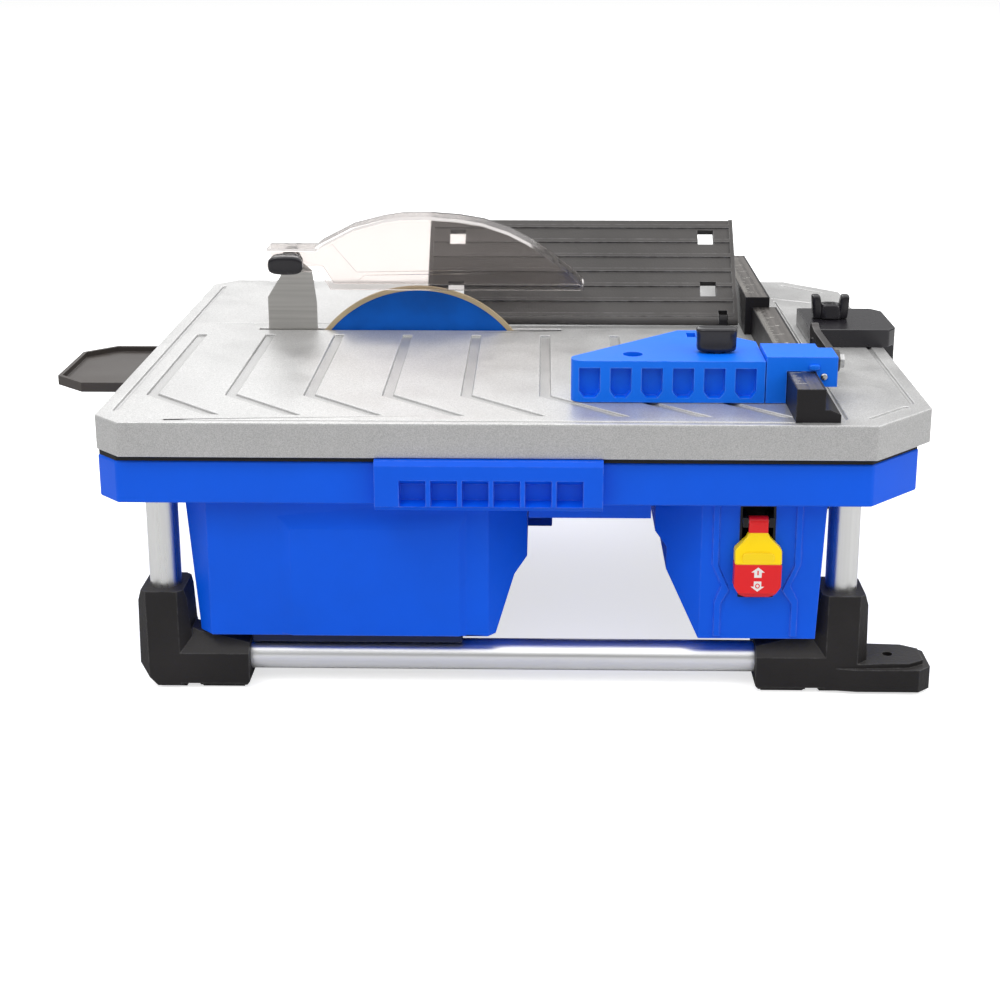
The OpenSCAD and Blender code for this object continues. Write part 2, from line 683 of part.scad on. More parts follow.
module blade_rim() color([0.72, 0.6, 0.38]) translate(shift) difference() {
  along_y(blade_x, blade_z, blade_r, blade_y - rim_thickness / 2, blade_y + rim_thickness / 2, $fn = 120);
  along_y(blade_x, blade_z, blade_r - rim_depth, blade_y - 5, blade_y + 5, $fn = 120);
}

module arbor_flanges() color(c_steel) translate(shift)
  for (y = [blade_y + core_thickness / 2, blade_y - 6]) difference() {
    along_y(blade_x, blade_z, 22, y, y + 6 - core_thickness / 2);
    along_y(blade_x, blade_z, arbor_r, y - 1, y + 7);
  }

module arbor_nut() color(c_steel) translate(shift) difference() {
  translate([blade_x, blade_y - 8, blade_z]) rotate([90, 0, 0]) cylinder(r = 13, h = 9, $fn = 6);
  along_y(blade_x, blade_z, shaft_r, blade_y - 20, blade_y);
}

// ---------- guard ----------

module support_plate() color(c_steel) translate(shift) {
  lowest = 134;
  t = 1;
  difference() {
    wall_y(blade_y - t, blade_y + t) union() {
      translate([pivot_x, pivot_z]) circle(r = 7);
      polygon([[-186, lowest], [-150, lowest], [-150, deck_top + 20], [pivot_x + 16, deck_top + 44],
               [pivot_x + 6.9, pivot_z], [pivot_x - 7, pivot_z], [pivot_x - 7, deck_top + 40],
               [-186, deck_top + 24]]);
    }
    along_y(blade_x, blade_z, blade_r + 4, blade_y - 3, blade_y + 3, $fn = 120);
    along_y(pivot_x, pivot_z, 3 + run, blade_y - 3, blade_y + 3);
  }
}

module support_block() color(c_dark) translate(shift)
  span([-204, blade_y + 1, 140], [-172, blade_y + 13, deck_under]);

// Side outline of the guard in X and height above the deck.
guard_line = [[-184, 45], [-184, 62], [-150, 62], [-145, 65.7], [-122, 77.5], [-100, 83.2], [-87, 85.2],
  [-67, 85.6], [-45, 84], [-27, 81], [-8, 74.6], [6, 67.2], [22, 56.8], [37, 45], [46, 36.5], [46, 32],
  [-138, 32], [-146, 45]];
guard_hollow = [[-190, 30], [-190, 59.5], [-149, 59.5], [-144, 63], [-121, 74.8], [-99.5, 80.6], [-87, 82.6],
  [-67, 83], [-45.5, 81.4], [-28, 78.5], [-9.5, 72.2], [4.5, 65], [20, 55], [35, 43.4], [43.5, 35.5],
  [43.5, 20], [-190, 20]];

module guard_shell() color(c_clear) translate(shift) difference() {
  union() {
    translate([0, 0, deck_top]) wall_y(guard_y0, guard_y1) polygon(guard_line);
    // Ridges and a raised window on the near side
    translate([0, 0, deck_top]) wall_y(guard_y0 - 0.9, guard_y0 + 1) {
      polygon([[-138, 64], [-120, 43], [-26, 45], [-26, 47], [-119, 45.2], [-136, 65.6]]);
      polygon([[-118, 32], [-19, 32], [-19, 41], [-24, 44.5], [-113, 43], [-118, 39]]);
    }
  }
  translate([0, 0, deck_top]) wall_y(guard_y0 + guard_wall, guard_y1 - guard_wall) polygon(guard_hollow);
  along_y(pivot_x, pivot_z, 3 + run, guard_y0 - 5, guard_y1 + 5);
  span([-5, guard_y0 - 5, deck_top + 49], [18, guard_y0 + guard_wall - 1, deck_top + 52]);
}

module guard_bolt() color(c_steel) translate(shift) {
  along_y(pivot_x, pivot_z, 3, guard_y0 - 8, guard_y1 + 6);
  translate([pivot_x, guard_y1 + 5.4, pivot_z]) rotate([90, 0, 0]) cylinder(r = 6, h = 5, $fn = 6);
}

// Oblong grip with a round boss, used for the hand knobs. It stands along +Z from the origin.
module grip_knob(length, width, height) {
  cylinder(r = width * 0.42, h = 3);
  translate([0, 0, 3]) linear_extrude(height - 3) union() {
    square([length - width, width * 0.72], center = true);
    for (s = [-1, 1]) translate([s * (length - width) / 2, 0]) circle(r = width / 2);
  }
}

module guard_knob() color(c_dark) translate(shift) difference() {
  translate([pivot_x, guard_y0 - gap, pivot_z]) rotate([90, 0, 0]) grip_knob(26, 16, 13);
  along_y(pivot_x, pivot_z, 3, guard_y0 - 8, guard_y0 + 1);
}

// ---------- bevel plate ----------

module bevel_plate() color(c_dark) translate(shift)
  translate([0, hinge_y, hinge_z]) rotate([plate_tilt, 0, 0]) difference() {
    t = plate_thickness / 2;
    union() {
      span([plate_x0, 0, -t], [plate_x1, plate_depth - 3, t - 1.2]);
      along_x(0, 0, t, plate_x0, plate_x1);
      for (i = [0:6]) span([plate_x0 + 2, 3 + i * (plate_depth - 12) / 6 - 1.5, t - 1.5],
                           [plate_x1 - 2, 3 + i * (plate_depth - 12) / 6 + 1.5, t]);
      for (x = [plate_x0, plate_x1 - 3]) span([x, 0, t - 1.5], [x + 3, plate_depth - 3, t]);
    }
    for (x = [plate_x0 + 15, plate_x1 - 27]) for (y = [20, plate_depth - 25])
      span([x, y, -10], [x + 12, y + 13, 10]);
    along_x(0, 0, 2 + run, plate_x0 - 1, plate_x1 + 1);
    for (x = bracket_at) span([x - gap, -8, -8], [x + bracket_width + gap, 7.5, 8]);
  }

// Fixed pins of the bevel plate, splash flap, paddle and rocker.
module hinge_pins() color(c_steel) translate(shift) {
  along_x(hinge_y, hinge_z, 2, plate_x0 + 1, plate_x1 - 1);
  along_y(flap_x, flap_z, 2, -29, 81);
  along_x(paddle_y, paddle_z, 1.5, switch_x - 9.6, switch_x + 9.6);
  along_x(rocker_y + 1, rocker_z, 1.2 - run, switch_x - 8, switch_x + 8);
}

// Bracket that stands in a notch of the bevel plate's hinge edge, from x along +X.
module bevel_bracket(x) {
  difference() {
    union() {
      span([x, hinge_y - 4.5, deck_top], [x + bracket_width, hinge_y + 4.5, hinge_z]);
      along_x(hinge_y, hinge_z, 4.5, x, x + bracket_width);
    }
    span([x - 1, hinge_y - 8, deck_top - 8], [x + bracket_width + 1, hinge_y + 8, deck_top]);
    along_x(hinge_y, hinge_z, 2, x - 1, x + bracket_width + 1);
  }
}

module hinge_brackets() color(c_dark) translate(shift) {
  flap_bracket();
  for (x = bracket_at) bevel_bracket(x);
}

// ---------- fence ----------

module near_bar() color(c_dark) translate(shift) difference() {
  translate([0, 21, deck_top]) rotate([90, 0, 0]) linear_extrude(21 + 207)
    polygon([[bar_x0, 0], [195, 0], [195, 5], [bar_x1 + 3, 8], [bar_x1, 8], [bar_x1, near_bar_height],
             [bar_x0, near_bar_height]]);
  for (y = [-198, 12])
    translate([bar_x0 + bar_width / 2, y, deck_top + near_bar_height - 3]) cylinder(r = 4, h = 5);
}

module far_bar() color(c_dark) translate(shift) difference() {
  translate([0, 184, deck_top]) rotate([90, 0, 0]) linear_extrude(184 - 21.4)
    polygon([[far_x0, 0], [190, 0], [190, 5], [far_x0 + bar_width + 3, 8], [far_x0 + bar_width, 8],
             [far_x0 + bar_width, far_bar_height], [far_x0, far_bar_height]]);
  for (y = [32, 174])
    translate([far_x0 + bar_width / 2, y, deck_top + far_bar_height - 3]) cylinder(r = 4, h = 5);
}

module bar_screws() color(c_steel) translate(shift) {
  for (y = [-198, 12]) translate([bar_x0 + bar_width / 2, y, deck_top + near_bar_height - 3]) difference() {
    cylinder(r = 4, h = 2.4);
    translate([0, 0, 1]) cylinder(r = 2, h = 3, $fn = 6);
  }
  for (y = [32, 174]) translate([far_x0 + bar_width / 2, y, deck_top + far_bar_height - 3]) difference() {
    cylinder(r = 4, h = 2.4);
    translate([0, 0, 1]) cylinder(r = 2, h = 3, $fn = 6);
  }
}

module guide_body() color(c_blue) translate(shift) {
  front = -165;
  pocket = 13;
  difference() {
    translate([0, 0, guide_base]) linear_extrude(guide_top - guide_base)
      union() {
        polygon([[42, front], [saddle_x0 - 0.6, front], [saddle_x0 - 0.6, -112], [124, -81], [106, -81],
                 [36.3, -151.3], [34, -157]]);
        translate([42, front + 8]) circle(r = 8);
      }
    for (i = [0:guide_pockets - 1]) translate([39 + i * 19.4, front + 7, guide_base + 3])
      rotate([90, 0, 0]) linear_extrude(8)
        polygon([[3, 0], [pocket - 3, 0], [pocket, 4], [pocket, 19], [0, 19], [0, 4]]);
    translate([73, -147, deck_top - 1]) cylinder(r = 6.3, h = guide_height + 3);
    span([111, -100, deck_top - 1], [117, -88, guide_top + 1]);
    translate([knob_x, knob_y, deck_top - 1]) cylinder(r = 3 + run, h = guide_height + 3);
  }
}

module guide_knob() color(c_dark) translate(shift) translate([knob_x, knob_y, 0]) {
  translate([0, 0, guide_top + gap]) grip_knob(26, 14, 16);
  translate([0, 0, guide_base + 4]) cylinder(r = 3, h = guide_height);
}

module guide_saddle() color(c_blue) translate(shift) difference() {
  span([saddle_x0, -165, guide_base], [199, -129, deck_top + 30]);
  span([bar_x0 - gap, -170, deck_top - 1], [bar_x1 + gap, -120, deck_top + near_bar_height + gap]);
  span([bar_x1, -170, deck_top - 1], [200, -120, deck_top + 11]);
  span([190, -140, deck_top + 24], [200, -120, deck_top + 31]);
  along_x(lever_y, lever_z, 2.5, bar_x1 + 2.5, 201);
}

module lever_screw() color(c_steel) translate(shift) difference() {
  union() {
    along_x(lever_y, lever_z, 2.5, bar_x1 + 2.5, lever_x + 5.4);
    along_x(lever_y, lever_z, 4.5, lever_x + 5.4, lever_x + 8);
  }
  along_x(lever_y, lever_z, 1.8, lever_x + 6.6, lever_x + 9, $fn = 6);
}

module clamp_lever() color(c_dark) translate(shift) difference() {
  union() {
    along_x(lever_y, lever_z, 6.5, lever_x, lever_x + 5);
    span([lever_x, lever_y, lever_z - 3.5], [lever_x + 5, -50, lever_z + 3]);
    along_x(-50, lever_z, 5, lever_x - 0.2, lever_x + 5.2);
  }
  along_x(lever_y, lever_z, 2.5 + run, lever_x - 2, lever_x + 8);
}

module edge_bracket() color(c_dark) translate(shift) difference() {
  union() {
    translate([0, 0, deck_top]) linear_extrude(13)
      polygon([[205, -17], [deck_x + 3, -17], [deck_x + bracket_over, -9], [deck_x + bracket_over, 45],
               [deck_x + 3, 53], [205, 53]]);
    span([deck_x, -9, deck_top - 16], [deck_x + bracket_over, 45, deck_top + 1]);
  }
  translate([clamp_x, clamp_y, deck_top - 1]) cylinder(r = 4 + run, h = 20);
}

module edge_knob() color(c_dark) translate(shift) translate([clamp_x, clamp_y, deck_top]) {
  translate([0, 0, 1]) cylinder(r = 4, h = 14);
  translate([0, 0, 13 + gap]) grip_knob(30, 12, 17);
}

deck();
deck_gasket();
deck_posts();
upper_tray();
cross_drain();
carry_handle();
water_tank();
lower_pans();
drain_plug();
drive_housing();
motor_cover();
leg_tubes();
rail_tubes();
leg_collars();
outfeed_feet();
operator_feet();
foot_soles();
splash_flap();
hinge_pins();
bearing_plate();
shaft_seal();
motor_can();
end_bells();
motor_mount();
stator();
rotor_core();
arbor_shaft();
motor_fan();
bearings();
arbor_flanges();
arbor_nut();
blade_core();
blade_rim();
support_plate();
support_block();
guard_shell();
guard_knob();
guard_bolt();
bevel_plate();
hinge_brackets();
near_bar();
far_bar();
bar_screws();
guide_body();
guide_saddle();
guide_knob();
clamp_lever();
lever_screw();
edge_bracket();
edge_knob();
switch_box();
switch_rocker();
stop_paddle();
paddle_shoulder();
control_board();
battery_case();
battery_top();
battery_cells();
battery_latch();
terminal_block();
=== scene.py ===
# %% [markdown]
# A tabletop wet tile saw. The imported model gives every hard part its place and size, in metres,
# with +Z up, +X towards the operator's end of the cut and +Y away from the carry handle.
# It is loaded once, as a fixed frame, and everything below is measured from it.

# %% Load the frame
import math

import bmesh
import bpy
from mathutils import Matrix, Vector


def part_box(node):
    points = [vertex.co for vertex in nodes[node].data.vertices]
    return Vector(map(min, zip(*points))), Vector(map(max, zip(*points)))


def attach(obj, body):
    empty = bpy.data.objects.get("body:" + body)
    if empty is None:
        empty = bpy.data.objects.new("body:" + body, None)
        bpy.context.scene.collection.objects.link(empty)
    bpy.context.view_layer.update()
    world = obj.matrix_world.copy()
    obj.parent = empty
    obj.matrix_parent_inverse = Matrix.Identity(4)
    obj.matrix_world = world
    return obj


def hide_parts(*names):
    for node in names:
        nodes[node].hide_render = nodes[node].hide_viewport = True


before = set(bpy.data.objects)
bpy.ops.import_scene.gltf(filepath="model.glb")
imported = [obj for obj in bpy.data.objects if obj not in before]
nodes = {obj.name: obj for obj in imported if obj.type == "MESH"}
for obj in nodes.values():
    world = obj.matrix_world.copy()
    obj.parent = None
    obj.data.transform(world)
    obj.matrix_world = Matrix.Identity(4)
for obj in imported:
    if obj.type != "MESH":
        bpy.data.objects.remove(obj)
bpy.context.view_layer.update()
MM = 0.001  # one millimetre in the scene's metres

# %% [markdown]
# The camera stands in front of the carry handle and looks down on the deck. A long lens keeps the
# long edges of the deck almost parallel. A small lens shift frames the saw without tilting the view.

# %% Camera
deck_low, deck_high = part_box("deck")
deck_centre = Vector(((deck_low.x + deck_high.x) / 2, (deck_low.y + deck_high.y) / 2, 0))
camera_place = deck_centre + Vector((15.9, -1185.4, 469.3)) * MM
pitch_down = math.radians(15.35)
yaw_left = math.radians(1.06)
frame_width = 1000  # width of the finished picture
focal_length = 1697  # in the same unit as frame_width
sensor_width = 36
camera_data = bpy.data.cameras.new("camera")
camera_data.sensor_width = sensor_width
camera_data.lens = sensor_width * focal_length / frame_width
camera_data.shift_x = -0.0117
camera_data.shift_y = -0.107
camera = bpy.data.objects.new("camera", camera_data)
camera.location = camera_place
camera.rotation_euler = (math.pi / 2 - pitch_down, 0, yaw_left)
bpy.context.scene.collection.objects.link(camera)
bpy.context.scene.camera = camera
print("camera at", tuple(round(v, 3) for v in camera_place))

# %% [markdown]
# A studio sweep looks pure white while it lights a black knob only softly. Lighting hard enough for a
# white background would bleach the blue plastic, so world and floor get two strengths: a low one for
# the light they give, and a high one for where they are seen, also through the clear guard.

# %% World
world = bpy.data.worlds.new("studio")
world.use_nodes = True
world_shader = world.node_tree.nodes["Background"]
world_shader.inputs["Color"].default_value = (1.0, 1.0, 1.0, 1)
bpy.context.scene.world = world
bpy.context.scene.view_settings.view_transform = "Standard"


def bright_to_the_eye(tree, lit, seen, socket):
    """Give a strength socket one value for lighting and another where it is seen, also through glass."""
    path = tree.nodes.new("ShaderNodeLightPath")
    either = tree.nodes.new("ShaderNodeMath")
    either.operation = "MAXIMUM"
    tree.links.new(path.outputs["Is Camera Ray"], either.inputs[0])
    tree.links.new(path.outputs["Is Transmission Ray"], either.inputs[1])
    level = tree.nodes.new("ShaderNodeMapRange")
    level.inputs["To Min"].default_value = lit
    level.inputs["To Max"].default_value = seen
    tree.links.new(either.outputs["Value"], level.inputs["Value"])
    tree.links.new(level.outputs["Result"], socket)


world_light = 0.38
world_seen = 1.0
bright_to_the_eye(world.node_tree, world_light, world_seen, world_shader.inputs["Strength"])
print("world gives", world_light, "and shows", world_seen)

# %% [markdown]
# One very large soft light overhead lights saw and floor evenly and leaves the tub a little darker under
# the deck's rim. Three smaller ones, in front, at the operator's end and behind, give plastic and tubes
# their long highlights. Area lights are used because a point or a sun would draw hard shadows.

# %% Lights
light_table = [
    # name, place in metres, width in metres, watts
    ("overhead_light", (0, 0, 3.4), 11, 490),
    ("front_light", (-0.9, -1.2, 2.2), 0.6, 10),
    ("side_light", (1.5, -0.5, 0.9), 0.7, 5),
    ("back_light", (-0.3, 1.5, 1.1), 1.0, 5),
]
saw_middle = Vector((0, 0, 0.15))
for name, place, width, watts in light_table:
    lamp = bpy.data.lights.new(name, "AREA")
    lamp.size = width
    lamp.energy = watts
    light = bpy.data.objects.new(name, lamp)
    light.location = place
    light.rotation_euler = (saw_middle - Vector(place)).to_track_quat("-Z", "Y").to_euler()
    bpy.context.scene.collection.objects.link(light)
print("lights:", [row[0] for row in light_table])

# %% [markdown]
# The floor is one plain sheet, wide enough for its far edge to lie above the picture. Its finish is made
# with the plastics further down. Every later mesh that is built from a list of points uses this helper.

# %% Floor
def mesh_object(name, verts, faces):
    """A new mesh object from plain lists of points and faces."""
    mesh = bpy.data.meshes.new(name)
    mesh.from_pydata([tuple(v) for v in verts], [], faces)
    mesh.validate()
    obj = bpy.data.objects.new(name, mesh)
    bpy.context.scene.collection.objects.link(obj)
    return obj


floor_half = 14
floor_corners = [(-floor_half, -floor_half, 0), (floor_half, -floor_half, 0),
                 (floor_half, floor_half, 0), (-floor_half, floor_half, 0)]
floor = mesh_object("floor", floor_corners, [(0, 1, 2, 3)])
print("floor", 2 * floor_half, "m wide")

# %% [markdown]
# Four effects turn up on more than one finish, so each is a node group made once, with named inputs, and
# placed in each material with its own values. A group is easier to tune than copies of the same nodes.

# %% Node group helpers
def new_group(name, inputs, outputs):
    """A shader node group with float or vector inputs {name: default} and float outputs."""
    group = bpy.data.node_groups.new(name, "ShaderNodeTree")
    for label, default in inputs.items():
        kind = "NodeSocketVector" if isinstance(default, tuple) else "NodeSocketFloat"
        group.interface.new_socket(label, in_out="INPUT", socket_type=kind).default_value = default
    for label in outputs:
        group.interface.new_socket(label, in_out="OUTPUT", socket_type="NodeSocketFloat")
    return group, group.nodes.new("NodeGroupInput"), group.nodes.new("NodeGroupOutput")


def add(tree, kind, links=None, **settings):
    """Add a node, set its properties and values, and connect the sockets listed in links."""
    node = tree.nodes.new(kind)
    for key, value in settings.items():
        if key in node.inputs:
            node.inputs[key].default_value = value
        else:
            setattr(node, key, value)
    for key, source in (links or {}).items():
        tree.links.new(source, node.inputs[key])
    return node


def math_node(tree, operation, first, second, clamp=False):
    """A Math node whose two operands are sockets or numbers."""
    node = tree.nodes.new("ShaderNodeMath")
    node.operation = operation
    node.use_clamp = clamp
    for index, operand in enumerate((first, second)):
        if isinstance(operand, (int, float)):
            node.inputs[index].default_value = operand
        else:
            tree.links.new(operand, node.inputs[index])
    return node.outputs[0]


print("helpers ready")

# %% [markdown]
# A moulded face shows the fine texture that was etched into its mould, and a broad unevenness of sheen
# where the plastic cooled. Two noises give both, and they follow the part as it moves because they read
# its own coordinates.

# %% Moulded grain
grain_inputs = {"Scale": 900.0, "Patch Scale": 14.0}
grain_group, grain_in, grain_out = new_group("moulded_grain", grain_inputs, ["Height", "Patches"])
grain_place = add(grain_group, "ShaderNodeTexCoord").outputs["Object"]
fine_links = {"Vector": grain_place, "Scale": grain_in.outputs["Scale"]}
wide_links = {"Vector": grain_place, "Scale": grain_in.outputs["Patch Scale"]}
grain_fine = add(grain_group, "ShaderNodeTexNoise", fine_links, Detail=2.0)
grain_wide = add(grain_group, "ShaderNodeTexNoise", wide_links, Detail=4.0)
grain_group.links.new(grain_fine.outputs["Fac"], grain_out.inputs["Height"])
grain_group.links.new(grain_wide.outputs["Fac"], grain_out.inputs["Patches"])
print(grain_group.name, len(grain_group.nodes), "nodes")

# %% [markdown]
# Edges wear first. A Bevel node gives the normal as if every edge were rounded, so where it differs
# from the true normal there is an edge. A noise breaks the line up, since real wear is never even.

# %% Edge wear
edge_gain = 9.0  # how quickly a change of normal counts as an edge
chip_gain = 2.2
chip_offset = -0.6
wear_inputs = {"Radius": 0.0012, "Breakup": 180.0, "Amount": 0.5}
wear_group, wear_in, wear_out = new_group("edge_wear", wear_inputs, ["Mask"])
rounded = add(wear_group, "ShaderNodeBevel", {"Radius": wear_in.outputs["Radius"]}, samples=4)
true_normal = add(wear_group, "ShaderNodeNewGeometry").outputs["Normal"]
alike = wear_group.nodes.new("ShaderNodeVectorMath")
alike.operation = "DOT_PRODUCT"
wear_group.links.new(rounded.outputs["Normal"], alike.inputs[0])
wear_group.links.new(true_normal, alike.inputs[1])
edge = math_node(wear_group, "SUBTRACT", 1.0, alike.outputs["Value"], clamp=True)
edge = math_node(wear_group, "MULTIPLY", edge, edge_gain, clamp=True)
wear_place = add(wear_group, "ShaderNodeTexCoord").outputs["Object"]
chip_links = {"Vector": wear_place, "Scale": wear_in.outputs["Breakup"]}
chips = add(wear_group, "ShaderNodeTexNoise", chip_links, Detail=5.0)
chips = math_node(wear_group, "MULTIPLY_ADD", chips.outputs["Fac"], chip_gain, clamp=True)
chips.node.inputs[2].default_value = chip_offset
worn_edge = math_node(wear_group, "MULTIPLY", edge, chips)
wear_mask = math_node(wear_group, "MULTIPLY", worn_edge, wear_in.outputs["Amount"], clamp=True)
wear_group.links.new(wear_mask, wear_out.inputs["Mask"])
print(wear_group.name, len(wear_group.nodes), "nodes")

# %% [markdown]
# Tile dust settles on what looks up. The upward part of the normal, times a cloudy noise, gives a film
# that is thickest on level faces and absent below.

# %% Settled dust
dust_group, dust_in, dust_out = new_group("settled_dust", {"Scale": 20.0, "Amount": 0.25}, ["Mask"])
dust_normal = add(dust_group, "ShaderNodeNewGeometry").outputs["Normal"]
dust_up = add(dust_group, "ShaderNodeSeparateXYZ", {"Vector": dust_normal}).outputs["Z"]
dust_up = math_node(dust_group, "MAXIMUM", dust_up, 0.0)
dust_place = add(dust_group, "ShaderNodeTexCoord").outputs["Object"]
cloud_links = {"Vector": dust_place, "Scale": dust_in.outputs["Scale"]}
dust_cloud = add(dust_group, "ShaderNodeTexNoise", cloud_links, Detail=6.0)
dust_mask = math_node(dust_group, "MULTIPLY", dust_up, dust_cloud.outputs["Fac"])
dust_mask = math_node(dust_group, "MULTIPLY", dust_mask, dust_in.outputs["Amount"], clamp=True)
dust_group.links.new(dust_mask, dust_out.inputs["Mask"])
print(dust_group.name, len(dust_group.nodes), "nodes")

# %% [markdown]
# Drawing a tube or brushing a plate leaves fine lines along one direction. A noise squeezed hard on two
# axes and hardly at all on the third gives lines along the third, and the input says which axis that is.

# %% Drawn lines
lines_group, lines_in, lines_out = new_group("drawn_lines", {"Stretch": (4.0, 700.0, 700.0)}, ["Lines"])
lines_place = add(lines_group, "ShaderNodeTexCoord").outputs["Object"]
stretched = lines_group.nodes.new("ShaderNodeVectorMath")
stretched.operation = "MULTIPLY"
lines_group.links.new(lines_place, stretched.inputs[0])
lines_group.links.new(lines_in.outputs["Stretch"], stretched.inputs[1])
streak_links = {"Vector": stretched.outputs["Vector"]}
streaks = add(lines_group, "ShaderNodeTexNoise", streak_links, Scale=1.0, Detail=3.0)
lines_group.links.new(streaks.outputs["Fac"], lines_out.inputs["Lines"])
print(lines_group.name, len(lines_group.nodes), "nodes")

# %% [markdown]
# Before the finishes, a few helpers that every material needs: placing a group, mixing two colours by a
# mask, and spreading a noise over a wider range, since a noise's values crowd round the middle.

# %% Material helpers
mix_first, mix_second, mix_result = 6, 7, 2  # where a Mix node keeps its colour sockets
noise_low, noise_high = 0.3, 0.7  # the band that most of a noise's values fall in


def group_node(material, group, **values):
    """Place a shared effect in a material with the material's own values."""
    node = material.node_tree.nodes.new("ShaderNodeGroup")
    node.node_tree = group
    for label, value in values.items():
        node.inputs[label.replace("_", " ")].default_value = value
    return node


def blend_colour(tree, amount, first, second):
    """Mix from colour first to colour second by a mask. Either may be a socket or four numbers."""
    mix = tree.nodes.new("ShaderNodeMix")
    mix.data_type = "RGBA"
    tree.links.new(amount, mix.inputs["Factor"])
    for index, value in ((mix_first, first), (mix_second, second)):
        if isinstance(value, tuple):
            mix.inputs[index].default_value = value
        else:
            tree.links.new(value, mix.inputs[index])
    return mix.outputs[mix_result]


def spread(tree, source, low, high):
    """Stretch a noise value from its middle band to the range low to high."""
    node = tree.nodes.new("ShaderNodeMapRange")
    node.inputs["From Min"].default_value = noise_low
    node.inputs["From Max"].default_value = noise_high
    node.inputs["To Min"].default_value = low
    node.inputs["To Max"].default_value = high
    tree.links.new(source, node.inputs["Value"])
    return node.outputs["Result"]


def shade(colour, factor):
    """A colour made darker or lighter, with full alpha."""
    return tuple(min(1.0, c * factor) for c in colour) + (1.0,)


print("material helpers ready")

# %% [markdown]
# The saw has two families of finish, plastics and metals. Each family has one recipe: a base colour
# that drifts a little over the part, a roughness that follows the same drift, a paler colour on worn
# edges, and a bump at the scale of the real texture. One recipe with values keeps a family alike.

# %% Plastic recipe
def moulded_plastic(name, colour, rough, grain=900.0, bump=0.06, worn=0.5, dust=0.0, drift=0.1, gloss=0.3):
    """Plastic with a moulded grain, patchy sheen, paler edges and, if asked, dust on its upper faces."""
    material = bpy.data.materials.new(name)
    material.use_nodes = True
    tree = material.node_tree
    shader = tree.nodes["Principled BSDF"]
    grains = group_node(material, grain_group, Scale=grain)
    wear = group_node(material, wear_group, Amount=worn)
    patches = grains.outputs["Patches"]
    patch_mask = spread(tree, patches, 0.0, 1.0)
    base = blend_colour(tree, patch_mask, shade(colour, 1 - drift), shade(colour, 1 + drift))
    pale = tuple(c * pale_keep + pale_lift for c in colour) + (1.0,)
    base = blend_colour(tree, wear.outputs["Mask"], base, pale)
    if dust:
        film = group_node(material, dust_group, Amount=dust)
        base = blend_colour(tree, film.outputs["Mask"], base, dust_colour)
    tree.links.new(base, shader.inputs["Base Color"])
    roughness = spread(tree, patches, rough - plastic_swing, rough + plastic_swing)
    tree.links.new(roughness, shader.inputs["Roughness"])
    height_links = {"Height": grains.outputs["Height"]}
    bump_node = add(tree, "ShaderNodeBump", height_links, Strength=bump, Distance=bump_depth)
    tree.links.new(bump_node.outputs["Normal"], shader.inputs["Normal"])
    shader.inputs["Specular IOR Level"].default_value = gloss
    return material


dust_colour = (0.55, 0.53, 0.5, 1.0)
bump_depth = 0.4 * MM
pale_keep = 0.55  # how much of its colour a worn edge keeps
pale_lift = 0.3
plastic_swing = 0.06  # how far roughness drifts either way
print("plastic recipe ready")

# %% [markdown]
# The tub, handle and housing are one satin blue. The guide is a lighter, harder blue. Feet are coarse
# and a little dusty, the knobs glossy, the bevel plate paler along the edges of its ribs.

# %% Plastics
blue_plastic = moulded_plastic(
    "blue_plastic", (0.001, 0.095, 0.72), 0.42, grain=700.0, bump=0.12, worn=0.3, drift=0.07, gloss=0.15
)
guide_blue = moulded_plastic(
    "guide_blue", (0.001, 0.15, 0.82), 0.44, bump=0.1, worn=0.35, drift=0.06, gloss=0.2
)
deep_blue = moulded_plastic("deep_blue_plastic", (0.004, 0.012, 0.06), 0.45, worn=0.2)
black_plastic = moulded_plastic(
    "black_plastic", (0.01, 0.009, 0.01), 0.42, grain=1100.0, bump=0.2, worn=0.12, drift=0.25, gloss=0.22
)
foot_plastic = moulded_plastic(
    "foot_plastic", (0.015, 0.0135, 0.0135), 0.5, grain=500.0, bump=0.5, worn=0.3, dust=0.06,
    drift=0.35, gloss=0.22,
)
plate_plastic = moulded_plastic(
    "plate_plastic", (0.07, 0.066, 0.064), 0.5, grain=600.0, bump=0.3, worn=0.6, dust=0.06,
    drift=0.2, gloss=0.2,
)
flap_plastic = moulded_plastic(
    "flap_plastic", (0.045, 0.038, 0.034), 0.5, grain=600.0, bump=0.2, worn=0.2, dust=0.06
)
red_plastic = moulded_plastic(
    "red_plastic", (0.75, 0.008, 0.012), 0.32, bump=0.04, worn=0.15, drift=0.05
)
yellow_plastic = moulded_plastic(
    "yellow_plastic", (0.95, 0.66, 0.002), 0.34, bump=0.04, worn=0.15, drift=0.04
)
gloss_black = moulded_plastic(
    "gloss_black", (0.01, 0.009, 0.012), 0.24, grain=500.0, bump=0.05, worn=0.1, gloss=0.5
)
print("plastics made")

# %% [markdown]
# Ink, rubber, the circuit board and the cells' wrap are thin or soft, but they take light as plastic
# does, so the same recipe serves. The floor uses it too, with its two strengths from above.

